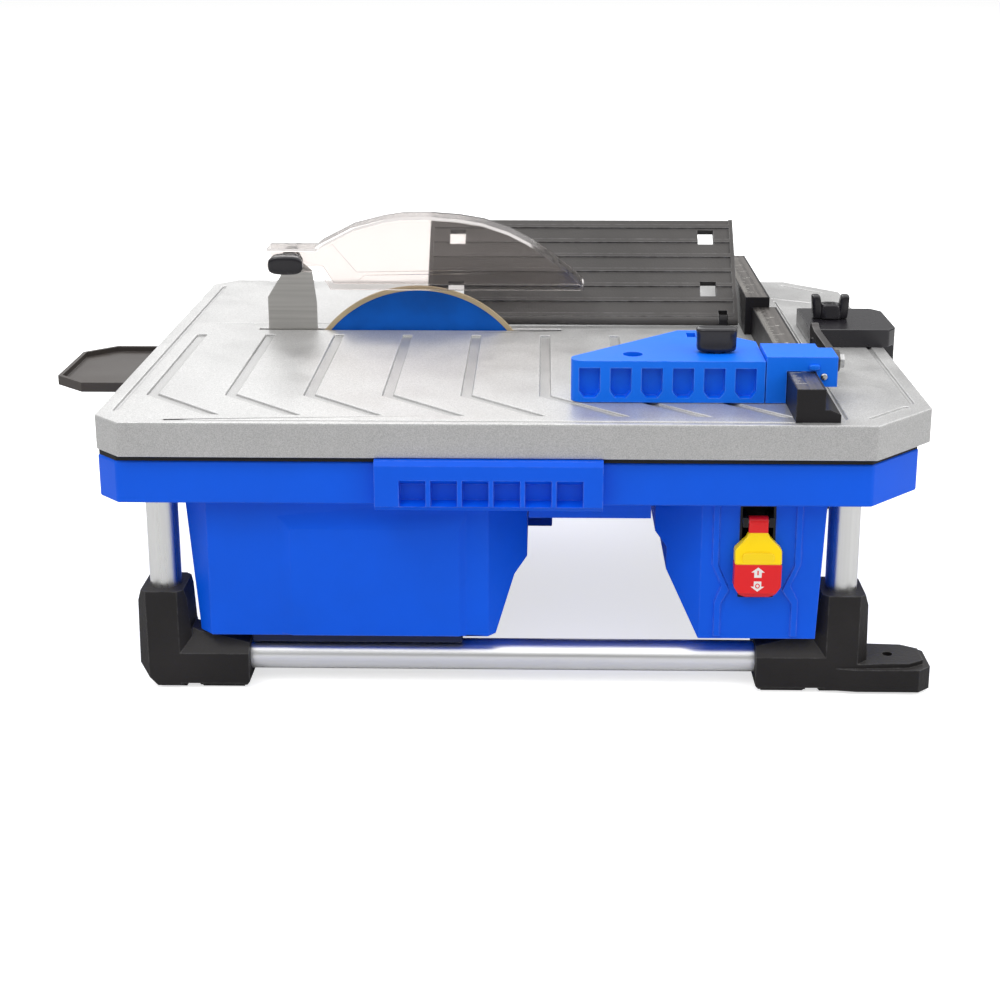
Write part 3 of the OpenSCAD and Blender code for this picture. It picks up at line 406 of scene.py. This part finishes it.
# %% Ink, rubber and floor
scale_ink = moulded_plastic("scale_ink", (0.55, 0.54, 0.5), 0.5, bump=0.02, worn=0.0, drift=0.03)
white_ink = moulded_plastic("white_ink", (0.8, 0.79, 0.76), 0.5, bump=0.02, worn=0.0, drift=0.03)
# This dark rubber also colours deck_gasket: painted shade, a band standing in for the gap's shadow.
rubber_and_shadow_band = moulded_plastic(
    "rubber_and_shadow_band", (0.012, 0.012, 0.012), 0.7, grain=400.0, bump=0.3, worn=0.1, drift=0.2
)
board_green = moulded_plastic("board_green", (0.02, 0.16, 0.06), 0.35, bump=0.1, worn=0.1)
cell_wrap = moulded_plastic("cell_wrap", (0.04, 0.3, 0.2), 0.3, bump=0.02, worn=0.1)
studio_floor = moulded_plastic(
    "studio_floor", (0.66, 0.66, 0.66), 0.8, grain=40.0, bump=0.01, worn=0.0, drift=0.01
)
floor_seen = 0.68
floor_shader = studio_floor.node_tree.nodes["Principled BSDF"]
floor_shader.inputs["Emission Color"].default_value = (1.0, 1.0, 1.0, 1)
bright_to_the_eye(studio_floor.node_tree, 0.0, floor_seen, floor_shader.inputs["Emission Strength"])
floor.data.materials.append(studio_floor)
print("ink, rubber and floor made")

# %% [markdown]
# Metal differs from plastic in that its colour is its reflection. Drawn lines run along the part, edges
# are worn bright instead of pale, and a cast or painted face gets fine dark flecks.

# %% Metal recipe
def worked_metal(name, colour, rough, stretch, metallic=1.0, bump=0.05, worn=0.4, drift=0.12, speck=0.0):
    """Metal with drawn lines along one direction, bright worn edges and an optional fine speckle."""
    material = bpy.data.materials.new(name)
    material.use_nodes = True
    tree = material.node_tree
    shader = tree.nodes["Principled BSDF"]
    lines = group_node(material, lines_group, Stretch=stretch)
    grains = group_node(material, grain_group, Scale=1500.0)
    wear = group_node(material, wear_group, Amount=worn)
    streak = lines.outputs["Lines"]
    streak_mask = spread(tree, streak, 0.0, 1.0)
    base = blend_colour(tree, streak_mask, shade(colour, 1 - drift), shade(colour, 1 + drift))
    if speck:
        flakes = spread(tree, grains.outputs["Height"], 0.0, speck)
        base = blend_colour(tree, flakes, base, shade(colour, fleck_shade))
    base = blend_colour(tree, wear.outputs["Mask"], base, shade(colour, bright_edge))
    tree.links.new(base, shader.inputs["Base Color"])
    roughness = spread(tree, streak, rough - metal_swing, rough + metal_swing)
    tree.links.new(roughness, shader.inputs["Roughness"])
    shader.inputs["Metallic"].default_value = metallic
    height = math_node(tree, "ADD", streak, grains.outputs["Height"])
    bump_node = add(tree, "ShaderNodeBump", {"Height": height}, Strength=bump, Distance=bump_depth)
    tree.links.new(bump_node.outputs["Normal"], shader.inputs["Normal"])
    return material


fleck_shade = 0.45
bright_edge = 1.7
metal_swing = 0.07
print("metal recipe ready")

# %% [markdown]
# Rails and legs are drawn tube, bright, with lines along their length. Pins, nuts and screws are plain
# steel, the clamp lever is blackened, and the strips on the fence bars are brushed dark. The lines' axis
# is given by the stretch: a small number along the lines and a large one across them.

# %% Metals
all_ways = (30.0, 30.0, 30.0)
along_x = (3.0, 500.0, 500.0)
along_y = (500.0, 6.0, 500.0)
along_z = (500.0, 500.0, 3.0)
tube_metal = worked_metal("tube_metal", (0.84, 0.84, 0.84), 0.34, along_x, bump=0.03, drift=0.06)
leg_metal = worked_metal("leg_metal", (0.62, 0.62, 0.61), 0.32, along_z, bump=0.03, drift=0.06)
steel = worked_metal("steel", (0.5, 0.5, 0.5), 0.33, along_y)
dark_steel = worked_metal("dark_steel", (0.09, 0.085, 0.085), 0.35, along_y, bump=0.08, worn=0.9)
plate_steel = worked_metal("plate_steel", (0.5, 0.49, 0.47), 0.36, (6.0, 500.0, 500.0))
copper = worked_metal("copper", (0.72, 0.36, 0.16), 0.4, along_y)
bar_metal = worked_metal(
    "bar_metal", (0.2, 0.185, 0.175), 0.38, (500.0, 4.0, 500.0), bump=0.04, worn=0.5
)
print("metals made")

# %% [markdown]
# The deck is cast and coated silver. Its channels and skirt get painted shade, darker than its top.
# Height above the bench tells the two apart, so the deck's colour is
# multiplied by a grey that fades in just below its top.

# %% Deck metal
deck_metal = worked_metal(
    "deck_metal", (0.6, 0.597, 0.592), 0.4, all_ways, metallic=0.55, bump=0.12, worn=0.7, drift=0.06,
    speck=0.6,
)
# painted shade: this grey darkens the deck's channels and skirt, which lie below its top
painted_shade_grey = 0.84
shade_start_depth = 0.3 * MM
shade_full_depth = 1.6 * MM
deck_tree = deck_metal.node_tree
deck_shader = deck_tree.nodes["Principled BSDF"]
unshaded_colour = deck_shader.inputs["Base Color"].links[0].from_socket
deck_position = add(deck_tree, "ShaderNodeTexCoord").outputs["Object"]
deck_height = add(deck_tree, "ShaderNodeSeparateXYZ", {"Vector": deck_position}).outputs["Z"]
# painted shade mask: nothing on the deck's top, full from just below it
painted_shade_mask = add(deck_tree, "ShaderNodeMapRange", {"Value": deck_height}).outputs["Result"]
painted_shade_mask.node.inputs["From Min"].default_value = deck_high.z - shade_start_depth
painted_shade_mask.node.inputs["From Max"].default_value = deck_high.z - shade_full_depth
painted_darker = blend_colour(deck_tree, painted_shade_mask, unshaded_colour, (painted_shade_grey, painted_shade_grey, painted_shade_grey, 1.0))
painted_darker.node.blend_type = "MULTIPLY"
deck_tree.links.new(painted_darker, deck_shader.inputs["Base Color"])
print("deck metal duller below", round(deck_high.z - shade_start_depth, 4), "m")

# %% [markdown]
# The guard is clear polycarbonate, faintly smoky and hazed by fine scratches. Its transmission and
# metallic stay plain numbers, and only roughness and bump vary. The blade's core is painted steel, and
# its rim is sintered grit, rough and uneven.

# %% Guard, blade core and rim
guard_clear = bpy.data.materials.new("guard_clear")
guard_clear.use_nodes = True
clear_tree = guard_clear.node_tree
clear_shader = clear_tree.nodes["Principled BSDF"]
clear_shader.inputs["Base Color"].default_value = (0.79, 0.755, 0.74, 1)
clear_shader.inputs["Transmission Weight"].default_value = 1.0
clear_shader.inputs["IOR"].default_value = 1.3
haze = group_node(guard_clear, grain_group, Scale=60.0, Patch_Scale=25.0)
haze_rough = spread(clear_tree, haze.outputs["Patches"], 0.03, 0.14)
clear_tree.links.new(haze_rough, clear_shader.inputs["Roughness"])
haze_links = {"Height": haze.outputs["Height"]}
haze_bump = add(clear_tree, "ShaderNodeBump", haze_links, Strength=0.01, Distance=0.3 * MM)
clear_tree.links.new(haze_bump.outputs["Normal"], clear_shader.inputs["Normal"])
blade_paint = worked_metal(
    "blade_paint", (0.001, 0.085, 0.42), 0.45, (60.0, 60.0, 60.0), metallic=0.0, bump=0.08, worn=0.2
)
blade_paint.node_tree.nodes["Principled BSDF"].inputs["Specular IOR Level"].default_value = 0.15
rim_grit = moulded_plastic(
    "rim_grit", (0.5, 0.4, 0.25), 0.75, grain=1400.0, bump=0.9, worn=0.5, drift=0.35
)
print("guard, blade and rim finishes made")

# %% [markdown]
# Each finish goes onto its parts by name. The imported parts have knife-sharp edges, so each gets a
# chain of modifiers that welds the mesh and rounds the edges by the amount that the real part's
# moulding, casting or machining leaves.

# %% Put finishes and rounded edges on the parts
finishes = {
    deck_metal: "deck",
    blue_plastic: "upper_tray cross_drain carry_handle water_tank drive_housing motor_cover leg_collars"
    " battery_top",
    guide_blue: "guide_body guide_saddle",
    deep_blue: "lower_pans",
    black_plastic: "guard_knob guide_knob edge_knob near_bar far_bar switch_box battery_case"
    " hinge_brackets terminal_block support_block deck_posts motor_mount motor_fan motor_can",
    gloss_black: "edge_bracket",
    foot_plastic: "outfeed_feet operator_feet",
    plate_plastic: "bevel_plate",
    flap_plastic: "splash_flap battery_latch",
    red_plastic: "switch_rocker stop_paddle",
    yellow_plastic: "paddle_shoulder",
    # deck_gasket: painted shade, a dark band in place of the shadow in the gap under the deck
    rubber_and_shadow_band: "deck_gasket foot_soles shaft_seal drain_plug",
    board_green: "control_board",
    cell_wrap: "battery_cells",
    leg_metal: "leg_tubes",
    tube_metal: "rail_tubes",
    steel: "hinge_pins bearing_plate end_bells rotor_core arbor_shaft bearings arbor_flanges arbor_nut"
    " guard_bolt bar_screws lever_screw",
    plate_steel: "support_plate",
    dark_steel: "clamp_lever",
    copper: "stator",
    guard_clear: "guard_shell",
    blade_paint: "blade_core",
    rim_grit: "blade_rim",
}
edge_round = {  # radius in millimetres
    "deck": 1.2, "upper_tray": 1.5, "carry_handle": 1.2, "water_tank": 2.0, "drive_housing": 2.0,
    "guide_body": 1.6, "guide_saddle": 1.4, "outfeed_feet": 1.6, "operator_feet": 1.6,
    "guard_shell": 0.9, "edge_bracket": 1.4, "bevel_plate": 0.5, "near_bar": 0.6, "far_bar": 0.6,
    "guard_knob": 2.0, "guide_knob": 2.2, "edge_knob": 1.6, "stop_paddle": 1.0,
    "paddle_shoulder": 1.0, "splash_flap": 0.8, "battery_case": 2.0, "battery_top": 1.5,
    "clamp_lever": 0.8, "motor_cover": 2.0, "lower_pans": 1.5, "switch_box": 0.5,
}
plain_round = 0.35
same_place = 1e-6
sharpest_left = math.radians(28)


def round_edges(obj, width):
    """Weld the mesh, round its sharp edges by width and even out the shading."""
    weld = obj.modifiers.new("weld", "WELD")
    weld.merge_threshold = same_place
    bevel = obj.modifiers.new("round", "BEVEL")
    bevel.width = width * MM
    bevel.segments = 3
    bevel.limit_method = "ANGLE"
    bevel.angle_limit = sharpest_left
    bevel.miter_outer = "MITER_ARC"
    even = obj.modifiers.new("even_shading", "WEIGHTED_NORMAL")
    even.keep_sharp = False
    even.weight = 80


for material, names in finishes.items():
    for name in names.split():
        part = nodes[name]
        part.data.materials.clear()
        part.data.materials.append(material)
        part.data.shade_smooth()
        round_edges(part, edge_round.get(name, plain_round))
unfinished = sorted(set(nodes) - {n for names in finishes.values() for n in names.split()})
print("parts without a finish:", unfinished)

# %% [markdown]
# The fence bars carry a brushed strip with a scale of fine lines and a number at each long one. Strip and
# lines are geometry, less than a tenth of a millimetre high, so the scale stays crisp from close by.

# %% Ruler marks
block_faces = ((3, 2, 1, 0), (4, 5, 6, 7), (0, 1, 5, 4), (1, 2, 6, 5), (2, 3, 7, 6), (3, 0, 4, 7))
ink_thick = 0.06 * MM
strip_thick = 0.08 * MM
strip_width = 16.0 * MM
strip_inset = 0.6 * MM
line_half = 0.2 * MM
inch = 25.4  # in millimetres
scale_step = inch / 8 * MM
mark_lengths = [7.0, 2.6, 3.6, 2.6, 5.0, 2.6, 3.6, 2.6]


def flat_marks(name, rectangles, z, thick, material):
    """One mesh of thin raised rectangles on the base, each given by its low and high corner in X and Y."""
    verts = []
    faces = []
    for low_x, low_y, high_x, high_y in rectangles:
        first = len(verts)
        for height in (z, z + thick):
            verts += [(low_x, low_y, height), (high_x, low_y, height)]
            verts += [(high_x, high_y, height), (low_x, high_y, height)]
        faces += [tuple(first + i for i in face) for face in block_faces]
    marks = mesh_object(name, verts, faces)
    marks.data.materials.append(material)
    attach(marks, "base")
    return marks


def bar_scale(node, start_y, end_y):
    """Scale lines across a fence bar's top, starting at the edge that a tile rests against."""
    low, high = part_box(node)
    edge_x = low.x + 1.0 * MM
    lines = []
    index = 0
    y = start_y
    while y < end_y:
        length = mark_lengths[index % len(mark_lengths)] * MM
        lines.append((edge_x, y - line_half, edge_x + length, y + line_half))
        index += 1
        y += scale_step
    strip = [(low.x + strip_inset, low.y + strip_inset, low.x + strip_width, high.y - strip_inset)]
    flat_marks(node + "_strip", strip, high.z, strip_thick, bar_metal)
    return flat_marks(node + "_scale", lines, high.z + strip_thick, ink_thick, scale_ink)


near_low, near_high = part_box("near_bar")
far_low, far_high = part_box("far_bar")
near_start = near_low.y + 14 * MM
far_start = far_low.y + 18 * MM
near_scale = bar_scale("near_bar", near_start, near_high.y - 14 * MM)
far_scale = bar_scale("far_bar", far_start, far_high.y - 16 * MM)
print("scale faces", len(near_scale.data.polygons), "and", len(far_scale.data.polygons))

# %% [markdown]
# Several small pieces are flat shapes with holes in them: printed arrows, a thumb pad, a lever. A 2D curve
# fills between its outer and inner outlines, so a hole needs no boolean, and then becomes a mesh.

# %% Flat shapes from outlines
def flat_shape(name, outlines, thick, corner=0.0):
    """A thin mesh in its own XY plane, filled between outlines given in millimetres."""
    curve = bpy.data.curves.new(name, "CURVE")
    curve.dimensions = "2D"
    curve.fill_mode = "BOTH"
    curve.extrude = thick * MM / 2
    curve.bevel_depth = corner * MM
    for outline in outlines:
        spline = curve.splines.new("POLY")
        spline.points.add(len(outline) - 1)
        for point, (x, y) in zip(spline.points, outline):
            point.co = (x * MM, y * MM, 0, 1)
        spline.use_cyclic_u = True
    return curve_to_mesh(name, curve)


def curve_to_mesh(name, curve):
    """Turn a curve or text block into a mesh object of the same name."""
    source = bpy.data.objects.new(name + "_source", curve)
    bpy.context.scene.collection.objects.link(source)
    evaluated = source.evaluated_get(bpy.context.evaluated_depsgraph_get())
    mesh = bpy.data.meshes.new_from_object(evaluated)
    mesh.name = name
    bpy.data.objects.remove(source)
    obj = bpy.data.objects.new(name, mesh)
    bpy.context.scene.collection.objects.link(obj)
    return obj


def ring_points(radius_x, radius_y, count, centre=(0, 0), power=2.0):
    """Points round an ellipse, or round a fuller rounded oblong when power is above 2."""
    points = []
    for i in range(count):
        angle = 2 * math.pi * i / count
        c, s = math.cos(angle), math.sin(angle)
        points.append((
            centre[0] + radius_x * math.copysign(abs(c) ** (2 / power), c),
            centre[1] + radius_y * math.copysign(abs(s) ** (2 / power), s),
        ))
    return points


print("outline helpers ready")

# %% [markdown]
# The switch paddle is printed with an arrow and a bar for on, and an arrow and a ring for off. Each mark
# is turned to lie on the paddle's sloped face and stands a few hundredths of a millimetre proud of it. The
# yellow shoulder has a low oblong pad where a thumb pushes.

# %% Switch marks
paddle_low, paddle_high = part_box("stop_paddle")
paddle_middle = (paddle_low.x + paddle_high.x) / 2
face_lean = math.atan2(1.0, 20.0)
lean_pivot = 23.5  # height in millimetres at which the face meets its upright part
proud_ink = 0.02
ink_plate = 0.1
on_height = 17.3
off_height = 8.2
pad_height = 27.0
pad_sink = 0.55  # how far the shoulder lies behind the paddle's face


def on_paddle(obj, height, proud, material):
    """Lay a flat shape on the paddle's front, at a height above its lower edge, in millimetres."""
    lean_y = (lean_pivot - height) * math.tan(face_lean)
    obj.location = (paddle_middle, paddle_low.y + (lean_y - proud) * MM, paddle_low.z + height * MM)
    obj.rotation_euler = (math.pi / 2 + face_lean, 0, 0)
    obj.data.materials.append(material)
    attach(obj, "paddle")


up_arrow = [(-2.3, -3.3), (2.3, -3.3), (2.3, 0.2), (4.2, 0.2), (0, 3.6), (-4.2, 0.2), (-2.3, 0.2)]
bar_mark = [(-0.45, -1.6), (0.45, -1.6), (0.45, 1.4), (-0.45, 1.4)]
down_arrow = [(x, -y) for x, y in up_arrow]
ring_outer = ring_points(1.5, 1.7, 24, (0, 0.2))
ring_inner = ring_points(0.8, 1.0, 24, (0, 0.2))
on_arrow = flat_shape("on_arrow", [up_arrow, bar_mark], ink_plate)
on_paddle(on_arrow, on_height, proud_ink, white_ink)
off_arrow = flat_shape("off_arrow", [down_arrow, ring_outer, ring_inner], ink_plate)
on_paddle(off_arrow, off_height, proud_ink, white_ink)
pad_outline = ring_points(9.5, 3.0, 40, power=5.0)
thumb_pad = flat_shape("shoulder_pad", [pad_outline], 0.5, corner=0.25)
on_paddle(thumb_pad, pad_height, -pad_sink, yellow_plastic)
print("switch marks on a face leaning", round(math.degrees(face_lean), 1), "degrees")

# %% [markdown]
# Every knob on the saw is a moulding meant for fingers: its sides are hollowed, its top is crowned and
# no edge is sharp. A cylinder can't show that. These are lofted: a few rounded-oblong sections are
# stacked at chosen heights and widths, and a subdivision surface turns the stack into one smooth skin.

# %% Lofted knobs
def loft(name, sections, count=24):
    """A closed mesh through sections of (height, half length, half width, fullness), in millimetres."""
    mesh = bpy.data.meshes.new(name)
    shape = bmesh.new()
    rings = []
    for height, half_x, half_y, fullness in sections:
        outline = ring_points(half_x, half_y, count, power=fullness)
        rings.append([shape.verts.new((x * MM, y * MM, height * MM)) for x, y in outline])
    for lower, upper in zip(rings, rings[1:]):
        for i in range(count):
            j = (i + 1) % count
            shape.faces.new((lower[i], lower[j], upper[j], upper[i]))
    shape.faces.new(list(reversed(rings[0])))
    shape.faces.new(rings[-1])
    bmesh.ops.recalc_face_normals(shape, faces=shape.faces)
    shape.to_mesh(mesh)
    shape.free()
    mesh.shade_smooth()
    obj = bpy.data.objects.new(name, mesh)
    bpy.context.scene.collection.objects.link(obj)
    smooth = obj.modifiers.new("smooth_skin", "SUBSURF")
    smooth.levels = 2
    smooth.render_levels = 2
    return obj


def oblong_sections(length, width, height):
    """Sections of an oblong hand knob: round collar, flared hollow sides and a crowned top."""
    half_l, half_w = length / 2, width / 2
    return [
        (0.0, half_w * 0.80, half_w * 0.80, 2.0), (0.2, half_w * 0.84, half_w * 0.84, 2.0),
        (0.8, half_w * 0.84, half_w * 0.84, 2.0), (1.1, half_l * 0.84, half_w * 0.84, 3.0),
        (1.6, half_l * 0.95, half_w * 0.94, 3.6), (height * 0.5, half_l * 0.93, half_w * 0.80, 3.4),
        (height - 2.4, half_l * 0.97, half_w * 0.86, 3.4), (height - 0.8, half_l * 0.96, half_w * 0.84, 3.2),
        (height - 0.1, half_l * 0.86, half_w * 0.66, 3.0), (height, half_l * 0.55, half_w * 0.35, 2.6),
    ]


print("loft helpers ready")

# %% [markdown]
# The guard's knob sticks out sideways, towards the carry handle's side, and is long enough for two
# fingers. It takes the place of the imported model's plain one and turns with the guard's clamp.

# %% Guard knob
guard_knob_low, guard_knob_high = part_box("guard_knob")
guard_knob_reach = (guard_knob_high.y - guard_knob_low.y) / MM
guard_grip = loft("guard_thumb_knob", oblong_sections(26, 16, guard_knob_reach))
guard_grip.location = (
    (guard_knob_low.x + guard_knob_high.x) / 2, guard_knob_high.y, (guard_knob_low.z + guard_knob_high.z) / 2
)
guard_grip.rotation_euler = (math.pi / 2, 0, 0)
guard_grip.data.materials.append(gloss_black)
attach(guard_grip, "guard_clamp")
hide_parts("guard_knob")
print("guard knob reaches out", round(guard_knob_reach, 1), "mm")

# %% [markdown]
# The guide's knob is the same kind of moulding, stood upright. It clears the guide's top by a hair, so
# that it can turn.

# %% Guide knob
guide_low, guide_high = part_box("guide_knob")
guide_top_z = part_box("guide_body")[1].z
knob_clear = 0.3 * MM
knob_height = (guide_high.z - guide_top_z - knob_clear) / MM
guide_grip = loft("guide_hand_knob", oblong_sections(27, 15, knob_height))
guide_grip.location = (
    (guide_low.x + guide_high.x) / 2, (guide_low.y + guide_high.y) / 2, guide_top_z + knob_clear
)
guide_grip.data.materials.append(gloss_black)
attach(guide_grip, "guide_clamp")
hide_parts("guide_knob")
print("guide knob stands", round(knob_height, 1), "mm above the guide")

# %% [markdown]
# The saddle's front face carries a small moulded stop and, below it, the domed end of a steel pin.
# Both are lofted and lie on the face.

# %% Saddle stop and pin
saddle_low, saddle_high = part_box("guide_saddle")
saddle_width = saddle_high.x - saddle_low.x
saddle_rise = saddle_high.z - saddle_low.z


def on_saddle(piece, across, up, material):
    """Lay a lofted piece on the saddle's front face at a fraction of its width and height."""
    piece.location = (saddle_low.x + across * saddle_width, saddle_low.y, saddle_low.z + up * saddle_rise)
    piece.rotation_euler = (math.pi / 2, 0, 0)
    piece.data.materials.append(material)
    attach(piece, "guide")


stop_sections = [(-0.2, 3.4, 2.0, 4.4), (0.6, 3.3, 1.9, 4.4), (1.6, 3.0, 1.7, 4.0), (1.8, 2.0, 1.0, 3.0)]
on_saddle(loft("saddle_stop", stop_sections), 0.67, 0.78, guide_blue)
pin_sections = [(-0.2, 2.3, 2.3, 2.0), (0.5, 2.3, 2.3, 2.0), (1.1, 1.8, 1.8, 2.0), (1.4, 0.8, 0.8, 2.0)]
on_saddle(loft("saddle_pin", pin_sections), 0.81, 0.58, steel)
print("saddle", round(saddle_width / MM, 1), "x", round(saddle_rise / MM, 1), "mm")

# %% [markdown]
# The edge clamp is turned with a wing knob: a square-cornered hub with a hollow in its top, and two
# prongs that rise outwards. It is one moulding. Here hub and prongs are lofted one by one and sunk into
# each other, and all three turn with the clamp.

# %% Wing knob
edge_low, edge_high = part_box("edge_knob")
bracket_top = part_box("edge_bracket")[1].z
wing_height = (edge_high.z - bracket_top) / MM
edge_place = Vector((
    (edge_low.x + edge_high.x) / 2, (edge_low.y + edge_high.y) / 2, bracket_top + knob_clear
))
hub = loft("edge_wing_knob", [
    (0.0, 7.6, 7.6, 3.0), (0.4, 8.0, 8.0, 3.4), (3.0, 8.0, 7.6, 4.0),
    (wing_height * 0.55, 7.0, 6.6, 4.0), (wing_height * 0.62, 6.4, 6.0, 3.6),
    (wing_height * 0.63, 4.4, 4.2, 2.4), (wing_height * 0.42, 3.8, 3.6, 2.2),
    (wing_height * 0.40, 1.8, 1.6, 2.0),
])
hub.location = edge_place
prong_away = 8.6 * MM
prong_lean = 0.12
knob_pieces = [hub]
for number, side in ((1, -1), (2, 1)):
    prong = loft("edge_knob_prong_%d" % number, [
        (0.0, 3.4, 5.0, 5.0), (0.5, 3.8, 5.4, 5.6), (wing_height * 0.45, 3.5, 5.2, 5.6),
        (wing_height * 0.88, 3.2, 4.8, 5.4), (wing_height * 0.97, 2.8, 4.2, 4.4),
        (wing_height * 0.99, 1.5, 2.4, 3.0),
    ], count=16)
    prong.location = edge_place + Vector((side * prong_away, 0, 0))
    for vertex in prong.data.vertices:
        vertex.co.x += side * vertex.co.z * prong_lean
    knob_pieces.append(prong)
for piece in knob_pieces:
    piece.data.materials.append(gloss_black)
    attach(piece, "edge_clamp")
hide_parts("edge_knob")
print("wing knob", round(wing_height, 1), "mm high")

# %% [markdown]
# The clamp lever is pressed from a flat bar: round boss at the far end, a slim shank and an eye with a
# six-sided hole where it meets the saddle. Its outline is drawn flat with the hole as an inner outline.

# %% Clamp lever
lever_low, lever_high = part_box("clamp_lever")
eye_radius = (lever_high.z - lever_low.z) / 2 / MM
lever_reach = (lever_high.y - lever_low.y) / MM - eye_radius
boss_radius = 5.0
shank_start = 3.2
shank_end = 2.2
eye_turns = [math.radians(a) for a in range(32, 330, 14)]
boss_turns = [math.radians(a) for a in range(-146, 147, 14)]
shank_run = 12  # where the shank's straight edges begin, from the eye and from the boss
boss_at = lever_reach - boss_radius
lever_outline = [(eye_radius * math.cos(a), eye_radius * math.sin(a)) for a in eye_turns]
lever_outline += [(shank_run, -shank_start), (boss_at - shank_run, -shank_end)]
lever_outline += [(boss_at + boss_radius * math.cos(a), boss_radius * math.sin(a)) for a in boss_turns]
lever_outline += [(boss_at - shank_run, shank_end), (shank_run, shank_start)]
hex_hole = ring_points(3.0, 3.0, 6)
thinned = 1.4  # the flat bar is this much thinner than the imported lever
lever_thick = (lever_high.x - lever_low.x) / MM - thinned
lever = flat_shape("clamp_lever_bar", [lever_outline, hex_hole], lever_thick, corner=0.5)
lever.location = (
    (lever_low.x + lever_high.x) / 2, lever_low.y + eye_radius * MM, (lever_low.z + lever_high.z) / 2
)
lever.rotation_euler = (math.pi / 2, 0, math.pi / 2)
lever.data.materials.append(dark_steel)
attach(lever, "lever")
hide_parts("clamp_lever")
print("lever", round(lever_reach, 1), "mm long,", round(lever_thick, 1), "mm thick")

# %% [markdown]
# The numbers on the fence bars are plain digits, one for each inch, counted from the bar's end nearest
# the carry handle. Blender's built-in font is drawn as a curve and turned into thin raised meshes beside
# the long marks.

# %% Scale numbers
digit_size = 4.2 * MM
digit_inset = 11.5 * MM
digit_shift = 1.2 * MM  # sets a digit just past its long mark
bare_ends = 30 * MM  # the bar's length without marks, both ends together


def bar_numbers(node, start_y):
    """Digits beside the long marks of a fence bar, read from the operator's end."""
    low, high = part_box(node)
    one_inch = inch * MM
    made = []
    for index in range(1, int((high.y - low.y - bare_ends) / one_inch) + 1):
        text = bpy.data.curves.new("%s_number_%d" % (node, index), "FONT")
        text.body = str(index)
        text.size = digit_size
        text.extrude = ink_thick / 2
        digit = curve_to_mesh(text.name, text)
        digit_y = start_y + index * one_inch + digit_shift
        digit.location = (low.x + digit_inset, digit_y, high.z + strip_thick)
        digit.rotation_euler = (0, 0, math.pi / 2)
        digit.data.materials.append(scale_ink)
        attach(digit, "base")
        made.append(digit)
    return made


near_numbers = bar_numbers("near_bar", near_start)
far_numbers = bar_numbers("far_bar", far_start)
print(len(near_numbers), "and", len(far_numbers), "numbers")
